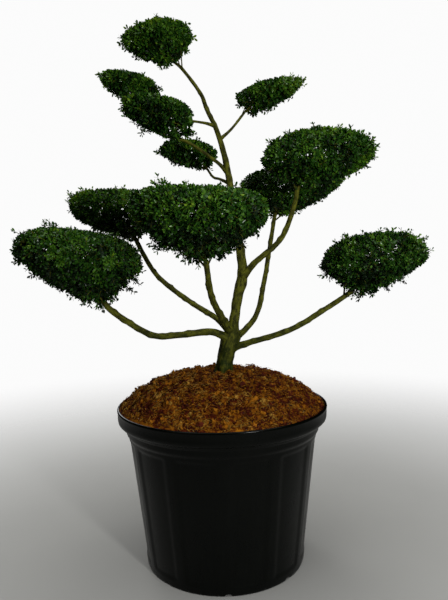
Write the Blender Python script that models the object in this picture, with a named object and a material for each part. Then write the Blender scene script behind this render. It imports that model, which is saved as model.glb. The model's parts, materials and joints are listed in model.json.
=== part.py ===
"""Cloud-pruned Japanese holly, built together with its round nursery pot.

Metres, +Z up. The origin is the centre of the pot's flat underside. +X runs towards the
lone pad on the low right bough, and +Y runs to the back. The pot holds a domed mulch fill.
A leaning trunk stands on the fill, ten boughs leave it, and a clipped pad of leaves sits on
each bough and on the trunk's tip.
"""

import math
import random
from collections import namedtuple

import bmesh
import bpy
from mathutils import Vector, noise
from mathutils.bvhtree import BVHTree

SEAT_GAP = 0.0003  # what is left between two pieces that rest on each other

# Pot: a moulded container with a flared rim band and shallow flutes.
POT_HEIGHT = 0.519
BASE_RADIUS = 0.2635
SHOULDER_RADIUS = 0.3138
SHOULDER_HEIGHT = 0.442
RIM_RADIUS = 0.347
RIM_BAND = 0.056  # the band's height, from its rounded foot to the rim
RIM_ROUND = 0.006
FOOT_ROUND = 0.004
WALL = 0.004
FLOOR = 0.012
FLUTES = 12
FLUTE_DEPTH = 0.005
FLUTE_BOTTOM = 0.030
FLUTE_TOP = 0.418
FLUTE_RAMP = 0.020  # over which a flute reaches its depth
POT_SEGMENTS = 4 * FLUTES
NOTCHES = 8
NOTCH_TURN = math.radians(2.0)
NOTCH_WIDTH = 0.022
NOTCH_HEIGHT = 0.008
NOTCH_DEPTH = 0.007
NOTCH_OVERRUN = 0.020  # how far a notch's cutter passes the wall

# Mulch: it fills the pot and domes up to the trunk's foot.
GROUND = 0.620
FILL_EDGE = 0.510
SEAT_RADIUS = 0.060
DOME_POWER = 2.7  # 2 is a round dome, and more is flatter with a steeper edge
DOME_RADII = (0.326, 0.300, 0.262, 0.218, 0.170, 0.120)
LUMP_HEIGHT = 0.006
LUMPS_PER_METRE = 22.0

# Wood: each row of the trunk is (x, y, z, radius) of its centre line.
TRUNK_SIDES = 10
TRUNK_RINGS = 34
FLARE_HEIGHT = 0.045
FLARE_LOBE = 0.12  # of the radius, in and out at the ground
TRUNK_LINE = (
    (0.008, 0.000, GROUND + SEAT_GAP, 0.0285),
    (0.016, 0.002, 0.677, 0.0260),
    (0.030, 0.004, 0.722, 0.0290),
    (0.047, 0.006, 0.790, 0.0165),
    (0.063, 0.008, 0.880, 0.0165),
    (0.078, 0.008, 0.945, 0.0172),
    (0.073, 0.004, 1.020, 0.0138),
    (0.037, -0.004, 1.284, 0.0104),
    (0.008, 0.000, 1.407, 0.0082),
    (-0.025, 0.003, 1.483, 0.0070),
    (-0.045, 0.004, 1.536, 0.0062),
    (-0.098, 0.003, 1.610, 0.0052),
    (-0.126, 0.002, 1.636, 0.0046),
)

# Each bough starts on the trunk's axis and is cut to the trunk's surface.
BOUGH_SIDES = 6
RING_SPACING = 0.036
FEWEST_RINGS = 5
Bough = namedtuple("Bough", "name line foot_radius tip_radius")
BOUGHS = (
    Bough(
        "bough_low_left",
        (
            (0.030, -0.002, 0.728),
            (-0.028, -0.030, 0.760),
            (-0.131, -0.050, 0.755),
            (-0.221, -0.066, 0.760),
            (-0.333, -0.092, 0.836),
            (-0.366, -0.100, 0.876),
        ),
        0.0115,
        0.0090,
    ),
    Bough(
        "bough_left_back",
        (
            (0.036, 0.006, 0.750),
            (-0.016, 0.044, 0.800),
            (-0.108, 0.090, 0.856),
            (-0.228, 0.165, 0.951),
            (-0.306, 0.221, 1.081),
        ),
        0.0100,
        0.0080,
    ),
    Bough(
        "bough_front",
        (
            (0.034, 0.000, 0.762),
            (0.012, -0.040, 0.797),
            (-0.022, -0.137, 0.880),
            (-0.034, -0.255, 0.990),
        ),
        0.0125,
        0.0080,
    ),
    Bough(
        "bough_right_front",
        (
            (0.079, 0.006, 0.938),
            (0.125, -0.016, 0.988),
            (0.205, -0.032, 1.059),
            (0.247, -0.046, 1.162),
            (0.259, -0.052, 1.226),
        ),
        0.0100,
        0.0070,
    ),
    Bough(
        "bough_right_back",
        (
            (0.034, 0.006, 0.722),
            (0.087, 0.040, 0.759),
            (0.128, 0.064, 0.811),
            (0.156, 0.102, 0.911),
            (0.193, 0.162, 1.088),
            (0.206, 0.180, 1.160),
        ),
        0.0105,
        0.0068,
    ),
    Bough(
        "bough_low_right",
        (
            (0.024, 0.002, 0.696),
            (0.088, -0.004, 0.716),
            (0.233, -0.006, 0.758),
            (0.347, 0.000, 0.821),
            (0.440, 0.000, 0.880),
        ),
        0.0108,
        0.0080,
    ),
    Bough(
        "bough_upper_left_back",
        (
            (0.037, -0.004, 1.278),
            (-0.003, 0.000, 1.319),
            (-0.096, 0.000, 1.383),
            (-0.187, 0.019, 1.416),
            (-0.300, 0.076, 1.520),
            (-0.303, 0.086, 1.574),
        ),
        0.0056,
        0.0042,
    ),
    Bough(
        "bough_upper_left",
        (
            (-0.004, 0.000, 1.431),
            (-0.034, -0.034, 1.432),
            (-0.092, -0.108, 1.424),
        ),
        0.0044,
        0.0036,
    ),
    Bough(
        "bough_middle_back",
        (
            (0.040, -0.004, 1.244),
            (0.010, 0.034, 1.264),
            (-0.013, 0.071, 1.278),
            (-0.040, 0.122, 1.326),
        ),
        0.0046,
        0.0038,
    ),
    Bough(
        "bough_upper_right",
        (
            (0.014, 0.000, 1.386),
            (0.055, 0.018, 1.425),
            (0.104, 0.040, 1.488),
        ),
        0.0046,
        0.0038,
    ),
)

# Each pad of leaves: its brim's centre, its half widths, its heights above and below the
# brim, the brim's slope along X, and how square its shoulders and how round its underside
# are (1 is a cone and 2 a bowl). A limb's tip carries it.
Pad = namedtuple("Pad", "name limb centre half rise drop slope square bowl seed")
PADS = (
    Pad(
        "foliage_top", "trunk",
        (-0.177, 0.000, 1.708), (0.122, 0.104), 0.059, 0.094, 0.08, 1.8, 1.2, 11,
    ),
    Pad(
        "foliage_upper_left_back", "bough_upper_left_back",
        (-0.288, 0.092, 1.598), (0.103, 0.082), 0.037, 0.053, -0.20, 2.3, 1.6, 12,
    ),
    Pad(
        "foliage_upper_left", "bough_upper_left",
        (-0.173, -0.120, 1.449), (0.114, 0.088), 0.041, 0.077, -0.18, 3.0, 1.9, 13,
    ),
    Pad(
        "foliage_middle_back", "bough_middle_back",
        (-0.098, 0.132, 1.373), (0.106, 0.079), 0.043, 0.064, -0.09, 2.5, 1.5, 14,
    ),
    Pad(
        "foliage_upper_right", "bough_upper_right",
        (0.182, 0.050, 1.552), (0.117, 0.080), 0.033, 0.078, 0.20, 1.9, 1.25, 15,
    ),
    Pad(
        "foliage_right_front", "bough_right_front",
        (0.325, -0.062, 1.313), (0.186, 0.122), 0.092, 0.096, 0.04, 2.0, 1.7, 16,
    ),
    Pad(
        "foliage_right_back", "bough_right_back",
        (0.275, 0.200, 1.262), (0.194, 0.124), 0.070, 0.125, 0.08, 3.0, 1.25, 17,
    ),
    Pad(
        "foliage_low_right", "bough_low_right",
        (0.513, 0.000, 0.972), (0.181, 0.142), 0.106, 0.116, 0.09, 2.3, 1.15, 18,
    ),
    Pad(
        "foliage_centre_front", "bough_front",
        (-0.049, -0.302, 1.123), (0.199, 0.164), 0.070, 0.144, -0.05, 3.5, 1.35, 19,
    ),
    Pad(
        "foliage_left_back", "bough_left_back",
        (-0.379, 0.250, 1.201), (0.178, 0.134), 0.064, 0.130, -0.02, 3.5, 1.5, 20,
    ),
    Pad(
        "foliage_low_left", "bough_low_left",
        (-0.436, -0.100, 1.007), (0.202, 0.164), 0.095, 0.153, -0.14, 2.6, 1.22, 21,
    ),
)
APEX_POWER = 2.5  # how late, going down, a pad's middle moves across to its limb

# Leaves stand for sprays, so they are larger than life.
LEAVES_PER_AREA = 5.4  # leaves on a pad, times a leaf's length squared, over half width x depth
LEAVES_PER_TWIG = 3
TWIGS_PER_FORK = 3
LEAF_LENGTH = 0.046  # on a pad of middle size
LEAF_WIDTH = 0.56  # of its length, as is the thickness
LEAF_THICKNESS = 0.09
LEAF_STANDS_OUT = 0.005  # how far leaves may pass the pad's even outline
MIDDLE_PAD = 0.160
LEAF_STEP = 0.006  # between the feet of a twig's leaves, which are on its axis
LEAF_TRIES = 40
TWIG_FOOT = 0.0042
TWIG_TIP = 0.0030
TWIG_INSET = 0.008  # from a twig's end out to the pad's surface
TWIG_SPREAD = 0.31  # a fork's twigs lean apart by this share of its sector's width
FORK_SHARE = 0.55  # how far out along its way a branch forks
HUB_DROP = 0.2  # of the pad's drop: where the stem ends and its branches start
STEM_TAPER = 0.6
CORE_INSET = 0.018
CORE_LUMP = 0.05  # of the core's reach
CORE_LUMPS = 2.4
CORE_DETAIL = 2
CORE_CLEARANCE = 0.005
DENT_PASSES = 16
DENT_SHARE = 0.95
LIMB_CLEARANCE = 0.004
PAD_CLEARANCE = 0.006


def clear_scene():
    for obj in list(bpy.data.objects):
        bpy.data.objects.remove(obj, do_unlink=True)


def make_material(name, colour, roughness):
    material = bpy.data.materials.new(name)
    material.use_nodes = True
    shader = material.node_tree.nodes["Principled BSDF"]
    shader.inputs["Base Color"].default_value = (*colour, 1.0)
    shader.inputs["Roughness"].default_value = roughness
    shader.inputs["Metallic"].default_value = 0.0
    return material


def add_object(name, mesh, material=None):
    obj = bpy.data.objects.new(name, mesh)
    bpy.context.scene.collection.objects.link(obj)
    if material:
        mesh.materials.append(material)
    return obj


def mesh_of(name, points, faces):
    mesh = bpy.data.meshes.new(name)
    mesh.from_pydata([tuple(point) for point in points], [], faces)
    mesh.update()
    return mesh


def ringed_shape(rings):
    """(points, faces) of rings of equally many points, joined in turn and capped at both ends."""
    count = len(rings[0])
    faces = [tuple(reversed(range(count)))]
    for ring in range(len(rings) - 1):
        low, high = ring * count, (ring + 1) * count
        for i in range(count):
            j = (i + 1) % count
            faces.append((low + i, low + j, high + j, high + i))
    faces.append(tuple(range((len(rings) - 1) * count, len(rings) * count)))
    return [point for ring in rings for point in ring], faces


def ringed_mesh(name, rings):
    return mesh_of(name, *ringed_shape(rings))


# Pot and mulch


def wall_radius(height):
    """The outer radius of the tapered wall at a height, without its flutes."""
    return BASE_RADIUS + (SHOULDER_RADIUS - BASE_RADIUS) * min(height / SHOULDER_HEIGHT, 1.0)


def circle(radius, height, flute=0.0):
    """A ring round the pot's axis. Every second pair of points is drawn in by the flute."""
    ring = []
    for i in range(POT_SEGMENTS):
        angle = math.tau * (i - 0.5) / POT_SEGMENTS
        drawn_in = flute if i % 4 in (2, 3) else 0.0
        reach = radius - drawn_in
        ring.append(Vector((reach * math.cos(angle), reach * math.sin(angle), height)))
    return ring


def notch_cutter(angle):
    """A block across the foot's edge, which leaves a drain notch."""
    mesh = bpy.data.meshes.new("notch")
    shape = bmesh.new()
    bmesh.ops.create_cube(shape, size=1.0)
    length = NOTCH_DEPTH + NOTCH_OVERRUN
    middle = BASE_RADIUS - NOTCH_DEPTH + length / 2
    for vert in shape.verts:
        along = vert.co.x * length + middle
        across = vert.co.y * NOTCH_WIDTH
        height = vert.co.z * 2 * NOTCH_HEIGHT
        vert.co = (
            along * math.cos(angle) - across * math.sin(angle),
            along * math.sin(angle) + across * math.cos(angle),
            height,
        )
    shape.to_mesh(mesh)
    shape.free()
    return add_object("notch", mesh)


def make_pot(material):
    band_foot = POT_HEIGHT - RIM_BAND
    inner_rim = RIM_RADIUS - WALL
    flute_foot, flute_head = FLUTE_BOTTOM + FLUTE_RAMP, FLUTE_TOP - FLUTE_RAMP
    rings = [
        circle(BASE_RADIUS - FOOT_ROUND, 0.0),
        circle(BASE_RADIUS, FOOT_ROUND),
        circle(wall_radius(FLUTE_BOTTOM), FLUTE_BOTTOM),
        circle(wall_radius(flute_foot), flute_foot, FLUTE_DEPTH),
        circle(wall_radius(flute_head), flute_head, FLUTE_DEPTH),
        circle(wall_radius(FLUTE_TOP), FLUTE_TOP),
        circle(SHOULDER_RADIUS, SHOULDER_HEIGHT),
        circle(SHOULDER_RADIUS + RIM_ROUND, band_foot - RIM_ROUND),
        circle(RIM_RADIUS - RIM_ROUND, band_foot + RIM_ROUND),
        circle(RIM_RADIUS, band_foot + 4 * RIM_ROUND),
        circle(RIM_RADIUS, POT_HEIGHT - RIM_ROUND),
        circle(RIM_RADIUS - RIM_ROUND / 3, POT_HEIGHT),
        circle(inner_rim - RIM_ROUND / 3, POT_HEIGHT),
        circle(inner_rim - RIM_ROUND / 2, band_foot + 4 * RIM_ROUND),
        circle(inner_radius(SHOULDER_HEIGHT), SHOULDER_HEIGHT + WALL),
        circle(inner_radius(FLOOR), FLOOR),
    ]
    pot = add_object("pot", ringed_mesh("pot", rings), material)
    cutters = [notch_cutter(NOTCH_TURN + math.tau * i / NOTCHES) for i in range(NOTCHES)]
    fuse(pot, cutters, "DIFFERENCE")


def inner_radius(height):
    """The inside of the wall, which passes behind the flutes."""
    return wall_radius(height) - FLUTE_DEPTH - WALL


def mulch_height(radius, edge):
    share = max(radius - SEAT_RADIUS, 0.0) / (edge - SEAT_RADIUS)
    return FILL_EDGE + (GROUND - FILL_EDGE) * (1 - share**DOME_POWER)


def make_mulch(material):
    """The fill follows the pot's inside, and its dome has a flat seat for the trunk."""
    gap = 2 * SEAT_GAP
    edge = RIM_RADIUS - WALL - RIM_ROUND / 2 - gap
    rings = [
        circle(inner_radius(FLOOR) - gap, FLOOR + gap),
        circle(inner_radius(SHOULDER_HEIGHT) - gap, SHOULDER_HEIGHT + WALL + gap),
        circle(edge, POT_HEIGHT - RIM_BAND + 4 * RIM_ROUND),
        circle(edge, FILL_EDGE - RIM_ROUND),
    ]
    for radius in DOME_RADII:
        ring = circle(radius, mulch_height(radius, edge))
        for point in ring:
            point.z += LUMP_HEIGHT * noise.noise(point * LUMPS_PER_METRE)
        rings.append(ring)
    rings.append(circle(SEAT_RADIUS, GROUND))
    add_object("mulch_fill", ringed_mesh("mulch_fill", rings), material)


# Wood


def curve_through(rows, count):
    """Rows on a smooth curve through the given ones, at even steps of the row number."""
    rows = [rows[0], *rows, rows[-1]]
    spans = len(rows) - 3
    samples = []
    for step in range(count + 1):
        place = min(step * spans / count, spans - 1e-9)
        start, t = int(place), place - int(place)
        before, left, right, after = rows[start : start + 4]
        samples.append(
            [
                0.5
                * (
                    2 * b
                    + (c - a) * t
                    + (2 * a - 5 * b + 4 * c - d) * t**2
                    + (3 * b - a - 3 * c + d) * t**3
                )
                for a, b, c, d in zip(before, left, right, after)
            ]
        )
    return samples


def tube_rings(centres, radii, sides, first_axis=None):
    """Rings square to a line of centres. Each ring is turned as little as possible from the last."""
    rings = []
    across = None
    for i, centre in enumerate(centres):
        axis = (centres[min(i + 1, len(centres) - 1)] - centres[max(i - 1, 0)]).normalized()
        if i == 0 and first_axis:
            axis = first_axis
        if across is None:
            across = axis.orthogonal()
        across = (across - axis * across.dot(axis)).normalized()
        side = axis.cross(across)
        ring = []
        for k in range(sides):
            angle = math.tau * k / sides
            reach = radii(i, k)
            ring.append(centre + (across * math.cos(angle) + side * math.sin(angle)) * reach)
        rings.append(ring)
    return rings


class Limb:
    """The centre line and radii of the trunk or a bough."""

    def __init__(self, rows, count):
        samples = curve_through(rows, count)
        self.centres = [Vector(row[:3]) for row in samples]
        self.radii = [row[3] for row in samples]

        rings = tube_rings(
            self.centres, lambda ring, side: self.radii[ring] + LIMB_CLEARANCE, BOUGH_SIDES
        )
        self.fence = BVHTree.FromPolygons(*ringed_shape(rings))

    @property
    def tip(self):
        return self.centres[-1]

    @property
    def tip_axis(self):
        return (self.centres[-1] - self.centres[-2]).normalized()

    def clearance(self, point):
        """The distance from a point to the limb's surface."""
        nearest = 1e9
        for i in range(len(self.centres) - 1):
            start, end = self.centres[i], self.centres[i + 1]
            run = end - start
            share = min(max((point - start).dot(run) / run.length_squared, 0.0), 1.0)
            radius = self.radii[i] + (self.radii[i + 1] - self.radii[i]) * share
            nearest = min(nearest, (point - start - run * share).length - radius)
        return nearest


def plan_bough(bough):
    spans = len(bough.line) - 1
    rows = []
    for i, place in enumerate(bough.line):
        radius = bough.foot_radius + (bough.tip_radius - bough.foot_radius) * i / spans
        rows.append((*place, radius))
    length = sum(math.dist(a, b) for a, b in zip(bough.line, bough.line[1:]))
    return Limb(rows, max(FEWEST_RINGS, round(length / RING_SPACING)))


def trunk_mesh(name, limb, grown):
    """The trunk with its root flare. The clearance cutter is the same, grown a little."""

    def radius(ring, side):
        height = limb.centres[ring].z - GROUND
        lobe = FLARE_LOBE * max(1 - height / FLARE_HEIGHT, 0.0)
        return limb.radii[ring] * (1 + (lobe if side % 2 else -lobe)) + grown

    up = Vector((0, 0, 1))
    return ringed_mesh(name, tube_rings(limb.centres, radius, TRUNK_SIDES, up))


def make_bough(bough, limb, clearance, material):
    rings = tube_rings(limb.centres, lambda ring, side: limb.radii[ring], BOUGH_SIDES)
    obj = add_object(bough.name, ringed_mesh(bough.name, rings), material)
    cut = obj.modifiers.new("cut_to_trunk", "BOOLEAN")
    cut.operation = "DIFFERENCE"
    cut.object = clearance
    return obj


# Foliage


def local_place(pad, point, apex, inset):
    """(distance from the pad's middle, height share, exponent), where 1 is the pad's surface."""
    offset = point - Vector(pad.centre)
    height = offset.z - pad.slope * offset.x
    if height >= 0:
        share, power = height / (pad.rise - inset), pad.square
        shift = Vector((0, 0, 0))
    else:
        share, power = -height / (pad.drop - inset), pad.bowl
        shift = apex * min(share, 1.0) ** APEX_POWER
    across = (offset.x - shift.x) / (pad.half[0] - inset)
    deep = (offset.y - shift.y) / (pad.half[1] - inset)
    return math.hypot(across, deep), share, power


def inside(pad, point, apex, inset=0.0):
    distance, share, power = local_place(pad, point, apex, inset)
    return distance**power + share**power <= 1.0


def apex_of(pad, limb):
    """How far the lowest point of a pad lies from its middle, level, under its limb's tip."""
    offset = limb.tip - Vector(pad.centre)
    return Vector((offset.x, offset.y, 0.0))


def reach(pad, direction, apex, inset):
    """The distance from a pad's middle to its surface along a direction."""
    low, high = 0.0, 0.5
    for _ in range(24):
        middle = (low + high) / 2
        if inside(pad, Vector(pad.centre) + direction * middle, apex, inset):
            low = middle
        else:
            high = middle
    return low


def spread(pad, count, turn):
    """Directions spread evenly over a pad by the golden angle."""
    directions = []
    golden_angle = math.pi * (3 - math.sqrt(5))
    for i in range(count):
        rise = 1 - 2 * (i + 0.5) / count
        level = math.sqrt(1 - rise * rise)
        angle = turn + i * golden_angle
        depth = pad.rise if rise > 0 else pad.drop
        across = Vector((math.cos(angle) * pad.half[0], math.sin(angle) * pad.half[1], 0))
        directions.append((across * level + Vector((0, 0, rise * depth))).normalized())
    return directions


def core_mesh(pad, apex, limbs):
    """A lumpy solid inside the pad, dented where it would come near the wood."""
    centre = Vector(pad.centre)
    shape = bmesh.new()
    bmesh.ops.create_icosphere(shape, subdivisions=CORE_DETAIL, radius=1.0)
    for vert in shape.verts:
        depth = pad.rise if vert.co.z > 0 else pad.drop
        scaled = Vector((vert.co.x * pad.half[0], vert.co.y * pad.half[1], vert.co.z * depth))
        direction = scaled.normalized()
        lump = 1 + CORE_LUMP * noise.noise(vert.co * CORE_LUMPS + Vector((pad.seed, 0, 0)))
        vert.co = centre + direction * reach(pad, direction, apex, CORE_INSET) * lump
    for _ in range(DENT_PASSES):
        near = set()
        for face in shape.faces:
            places = [face.calc_center_median()]
            places += [(edge.verts[0].co + edge.verts[1].co) / 2 for edge in face.edges]
            places += [vert.co for vert in face.verts]
            if any(limb.clearance(place) < CORE_CLEARANCE for limb in limbs for place in places):
                near.update(face.verts)
        for vert in near:
            vert.co = centre + (vert.co - centre) * DENT_SHARE
    mesh = bpy.data.meshes.new(pad.name)
    shape.to_mesh(mesh)
    shape.free()
    return mesh


def prism(start, end, foot, tip, sides, axis=None):
    """(points, faces) of a tapered twig or stem. Its foot stands square to the given axis."""
    run = (end - start).normalized()
    axis = axis or run
    across = axis.orthogonal().normalized()
    rings = []
    for centre, radius, normal in ((start, foot, axis), (end, tip, run)):
        across = (across - normal * across.dot(normal)).normalized()
        side = normal.cross(across)
        ring = []
        for k in range(sides):
            angle = math.tau * k / sides
            ring.append(centre + (across * math.cos(angle) + side * math.sin(angle)) * radius)
        rings.append(ring)
    return ringed_shape(rings)


def leaf_points(foot, direction, face, length):
    """The six corners of a leaf: foot, tip, two sides, and the middle's top and underside."""
    side = direction.cross(face).normalized() * length * LEAF_WIDTH / 2
    top = side.cross(direction).normalized() * length * LEAF_THICKNESS / 2
    middle = foot + direction * length / 2
    tip = foot + direction * length
    return [foot, middle + side, tip, middle - side, middle + top, middle - top]


LEAF_FACES = [
    face for i in range(4) for j in [(i + 1) % 4] for face in ((i, j, 4), (j, i, 5))
]


def crosses(points, faces, trees):
    shape = BVHTree.FromPolygons(points, faces)
    return any(shape.overlap(tree) for tree in trees)


def fuse(body, others, operation):
    """One Boolean of a body with a collection, applied, after which the collection goes."""
    collection = bpy.data.collections.new("fused")
    bpy.context.scene.collection.children.link(collection)
    for other in others:
        bpy.context.scene.collection.objects.unlink(other)
        collection.objects.link(other)
    modifier = body.modifiers.new("fuse", "BOOLEAN")
    modifier.operation = operation
    modifier.operand_type = "COLLECTION"
    modifier.collection = collection
    graph = bpy.context.evaluated_depsgraph_get()
    mesh = bpy.data.meshes.new_from_object(body.evaluated_get(graph))
    body.modifiers.clear()
    body.data = mesh
    for other in others:
        bpy.data.objects.remove(other, do_unlink=True)
    bpy.data.collections.remove(collection)


def islands_of(shape):
    """The faces of each connected body."""
    left = set(shape.faces)
    islands = []
    while left:
        island, waiting = set(), [left.pop()]
        while waiting:
            face = waiting.pop()
            island.add(face)
            for vert in face.verts:
                for other in vert.link_faces:
                    if other in left:
                        left.discard(other)
                        waiting.append(other)
        islands.append(island)
    return islands


def keep_largest(obj):
    """Drops loose scraps and fills sealed hollows, which are bodies of their own."""
    shape = bmesh.new()
    shape.from_mesh(obj.data)
    islands = sorted(islands_of(shape), key=len)
    for island in islands[:-1]:
        bmesh.ops.delete(shape, geom=list(island), context="FACES")
    loose = [vert for vert in shape.verts if not vert.link_faces]
    bmesh.ops.delete(shape, geom=loose, context="VERTS")
    shape.to_mesh(obj.data)
    shape.free()


class Spray:
    """Collects the twigs and leaves of one pad, and skips those that would leave its space."""

    def __init__(self, pad, limbs, others):
        self.pad, self.limbs, self.others = pad, limbs, others
        self.apex = apex_of(pad, limbs[pad.limb])
        self.core = core_mesh(pad, self.apex, limbs.values())
        self.fences = [limb.fence for limb in limbs.values()]
        shape = bmesh.new()
        shape.from_mesh(self.core)
        self.core_tree = BVHTree.FromBMesh(shape)
        shape.free()
        self.random = random.Random(pad.seed)
        self.leaf_length = LEAF_LENGTH * math.sqrt(pad.half[0] / MIDDLE_PAD)
        self.solids = []
        self.leaves = []

    def allowed(self, point):
        """Whether a point lies in this pad's space and in no other pad's."""
        return inside(self.pad, point, self.apex, -LEAF_STANDS_OUT) and not any(
            inside(pad, point, apex, -PAD_CLEARANCE) for pad, apex in self.others
        )

    def add_solid(self, points, faces):
        self.solids.append(add_object("solid", mesh_of("solid", points, faces)))

    def add_twig(self, start, end):
        """Adds a three-sided twig, unless it would come near the wood."""
        shape = prism(start, end, TWIG_FOOT, TWIG_TIP, 3)
        if crosses(*shape, self.fences):
            return False
        self.add_solid(*shape)
        return True

    def add_leaf(self, foot, along):
        """The leaf that stands furthest out of a few tries, clear of the leaves before it."""
        best, furthest = None, 0.0
        for _ in range(LEAF_TRIES):
            lean = Vector([self.random.uniform(-1, 1) for _ in range(3)])
            direction = (along + lean).normalized()
            face = Vector([self.random.uniform(-0.6, 0.6) for _ in range(2)] + [1.0])
            points = leaf_points(foot, direction, face, self.leaf_length)
            distance, share, power = local_place(self.pad, points[2], self.apex, 0.0)
            outward = distance**power + share**power
            if outward < furthest or not all(self.allowed(point) for point in points[1:]):
                continue
            if not crosses(points, LEAF_FACES, [self.core_tree, *self.fences, *self.leaves]):
                best, furthest = points, outward
        if best:
            self.leaves.append(BVHTree.FromPolygons(best, LEAF_FACES))
            self.add_solid(best, LEAF_FACES)

    def grow_twig(self, fork, direction):
        """One twig from a fork to just under the surface, with leaves along its outer part."""
        centre = Vector(self.pad.centre)
        end = centre + direction * (reach(self.pad, direction, self.apex, 0.0) - TWIG_INSET)
        if not self.allowed(end) or not self.add_twig(fork, end):
            return
        along = (end - fork).normalized()
        for i in range(LEAVES_PER_TWIG):
            self.add_leaf(end - along * (i + 0.4) * LEAF_STEP, along)

    def grow(self):
        pad, limb = self.pad, self.limbs[self.pad.limb]
        centre = Vector(pad.centre)
        foot = limb.tip + limb.tip_axis * SEAT_GAP
        hub = centre - Vector((0, 0, pad.drop * HUB_DROP))
        sides = TRUNK_SIDES if pad.limb == "trunk" else BOUGH_SIDES
        radius = limb.radii[-1]
        self.add_solid(*prism(foot, hub, radius, radius * STEM_TAPER, sides, limb.tip_axis))
        leaves = LEAVES_PER_AREA * pad.half[0] * pad.half[1] / self.leaf_length**2
        forks = round(leaves / (TWIGS_PER_FORK * LEAVES_PER_TWIG))
        turn = self.random.uniform(0, math.tau)
        lean = TWIG_SPREAD * math.sqrt(4 * math.pi / forks)
        for direction in spread(pad, forks, turn):
            fork = centre + direction * reach(pad, direction, self.apex, CORE_INSET) * FORK_SHARE
            if not self.add_twig(hub, fork):
                continue
            across = direction.orthogonal().normalized()
            side = direction.cross(across)
            spin = self.random.uniform(0, math.tau)
            for i in range(TWIGS_PER_FORK):
                angle = spin + math.tau * i / TWIGS_PER_FORK
                aside = across * math.cos(angle) + side * math.sin(angle)
                self.grow_twig(fork, (direction + aside * lean).normalized())


def make_pad(pad, limbs, others, material):
    spray = Spray(pad, limbs, others)
    body = add_object(pad.name, spray.core, material)
    spray.grow()
    fuse(body, spray.solids, "UNION")
    keep_largest(body)


def main():
    clear_scene()
    plastic = make_material("black_polypropylene", (0.012, 0.013, 0.012), 0.42)
    mulch = make_material("coir_mulch", (0.30, 0.13, 0.035), 0.95)
    bark = make_material("holly_bark", (0.10, 0.11, 0.035), 0.85)
    leaf = make_material("holly_leaf", (0.018, 0.065, 0.012), 0.45)

    make_pot(plastic)
    make_mulch(mulch)

    trunk = Limb(TRUNK_LINE, TRUNK_RINGS)
    limbs = {"trunk": trunk}
    limbs.update({bough.name: plan_bough(bough) for bough in BOUGHS})
    add_object("trunk", trunk_mesh("trunk", trunk, 0.0), bark)
    clearance = add_object("trunk_clearance", trunk_mesh("trunk_clearance", trunk, 1.5 * SEAT_GAP))
    clearance.hide_render = True
    clearance.display_type = "WIRE"
    for bough in BOUGHS:
        make_bough(bough, limbs[bough.name], clearance, bark)

    for pad in PADS:
        others = [(other, apex_of(other, limbs[other.limb])) for other in PADS if other != pad]
        make_pad(pad, limbs, others, leaf)


if __name__ == "__main__":
    main()
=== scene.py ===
"""Cloud-pruned Japanese holly in its round nursery pot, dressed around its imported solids.

Metres, +Z up, in the frame of the solids: the origin is the centre of the pot's flat underside,
+X runs towards the lone pad on the low right bough, and +Y runs to the back.
"""

import json
import math
from collections import namedtuple

import bmesh
import bpy
import numpy as np
from mathutils import Matrix, Vector, noise

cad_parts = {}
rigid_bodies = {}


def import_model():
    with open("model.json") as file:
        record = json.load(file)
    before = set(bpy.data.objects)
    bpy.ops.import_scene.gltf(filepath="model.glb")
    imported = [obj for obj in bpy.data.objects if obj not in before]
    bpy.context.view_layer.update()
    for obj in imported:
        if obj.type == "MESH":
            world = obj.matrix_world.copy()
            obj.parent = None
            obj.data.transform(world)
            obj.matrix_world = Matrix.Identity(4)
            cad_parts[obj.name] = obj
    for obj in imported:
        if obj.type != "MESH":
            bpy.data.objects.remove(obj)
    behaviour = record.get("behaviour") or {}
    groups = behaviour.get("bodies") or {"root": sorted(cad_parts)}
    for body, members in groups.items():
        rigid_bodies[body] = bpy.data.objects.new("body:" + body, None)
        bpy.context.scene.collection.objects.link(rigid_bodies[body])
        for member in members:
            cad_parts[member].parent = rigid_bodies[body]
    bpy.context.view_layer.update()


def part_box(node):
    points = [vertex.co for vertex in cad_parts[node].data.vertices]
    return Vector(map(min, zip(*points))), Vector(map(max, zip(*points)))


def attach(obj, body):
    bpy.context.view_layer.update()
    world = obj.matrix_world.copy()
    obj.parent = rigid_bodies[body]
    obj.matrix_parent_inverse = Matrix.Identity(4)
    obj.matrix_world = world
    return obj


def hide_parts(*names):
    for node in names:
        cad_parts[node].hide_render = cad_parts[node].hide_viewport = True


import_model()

bl_info = {
    "name": "Cloud-Pruned Holly",
    "version": (1, 0, 0),
    "blender": (4, 5, 0),
    "location": "3D View > Sidebar > Holly",
    "description": "Dresses the solids of a potted cloud-pruned holly with bark, leaves, mulch and plastic",
    "category": "Object",
}

# Pot: the wall's radii and heights, as the solid has them.
POT_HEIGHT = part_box("pot")[1].z
RIM_RADIUS = 0.347
BASE_RADIUS = 0.2635
SHOULDER_RADIUS = 0.3138
SHOULDER_HEIGHT = 0.442
NECK_RADIUS = 0.3200  # just under the rim band
WALL = 0.004
FLOOR = 0.012
FLUTES = 12
FLUTE_FOOT = 0.024
FLUTE_HEAD = 0.424
RIB_WIDTH = math.radians(8.0)
NOTCHES = 8
NOTCH_TURN = math.radians(2.0)  # turns the drain notches round the foot
NOTCH_WIDTH = 0.022
NOTCH_HEIGHT = 0.008

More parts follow.
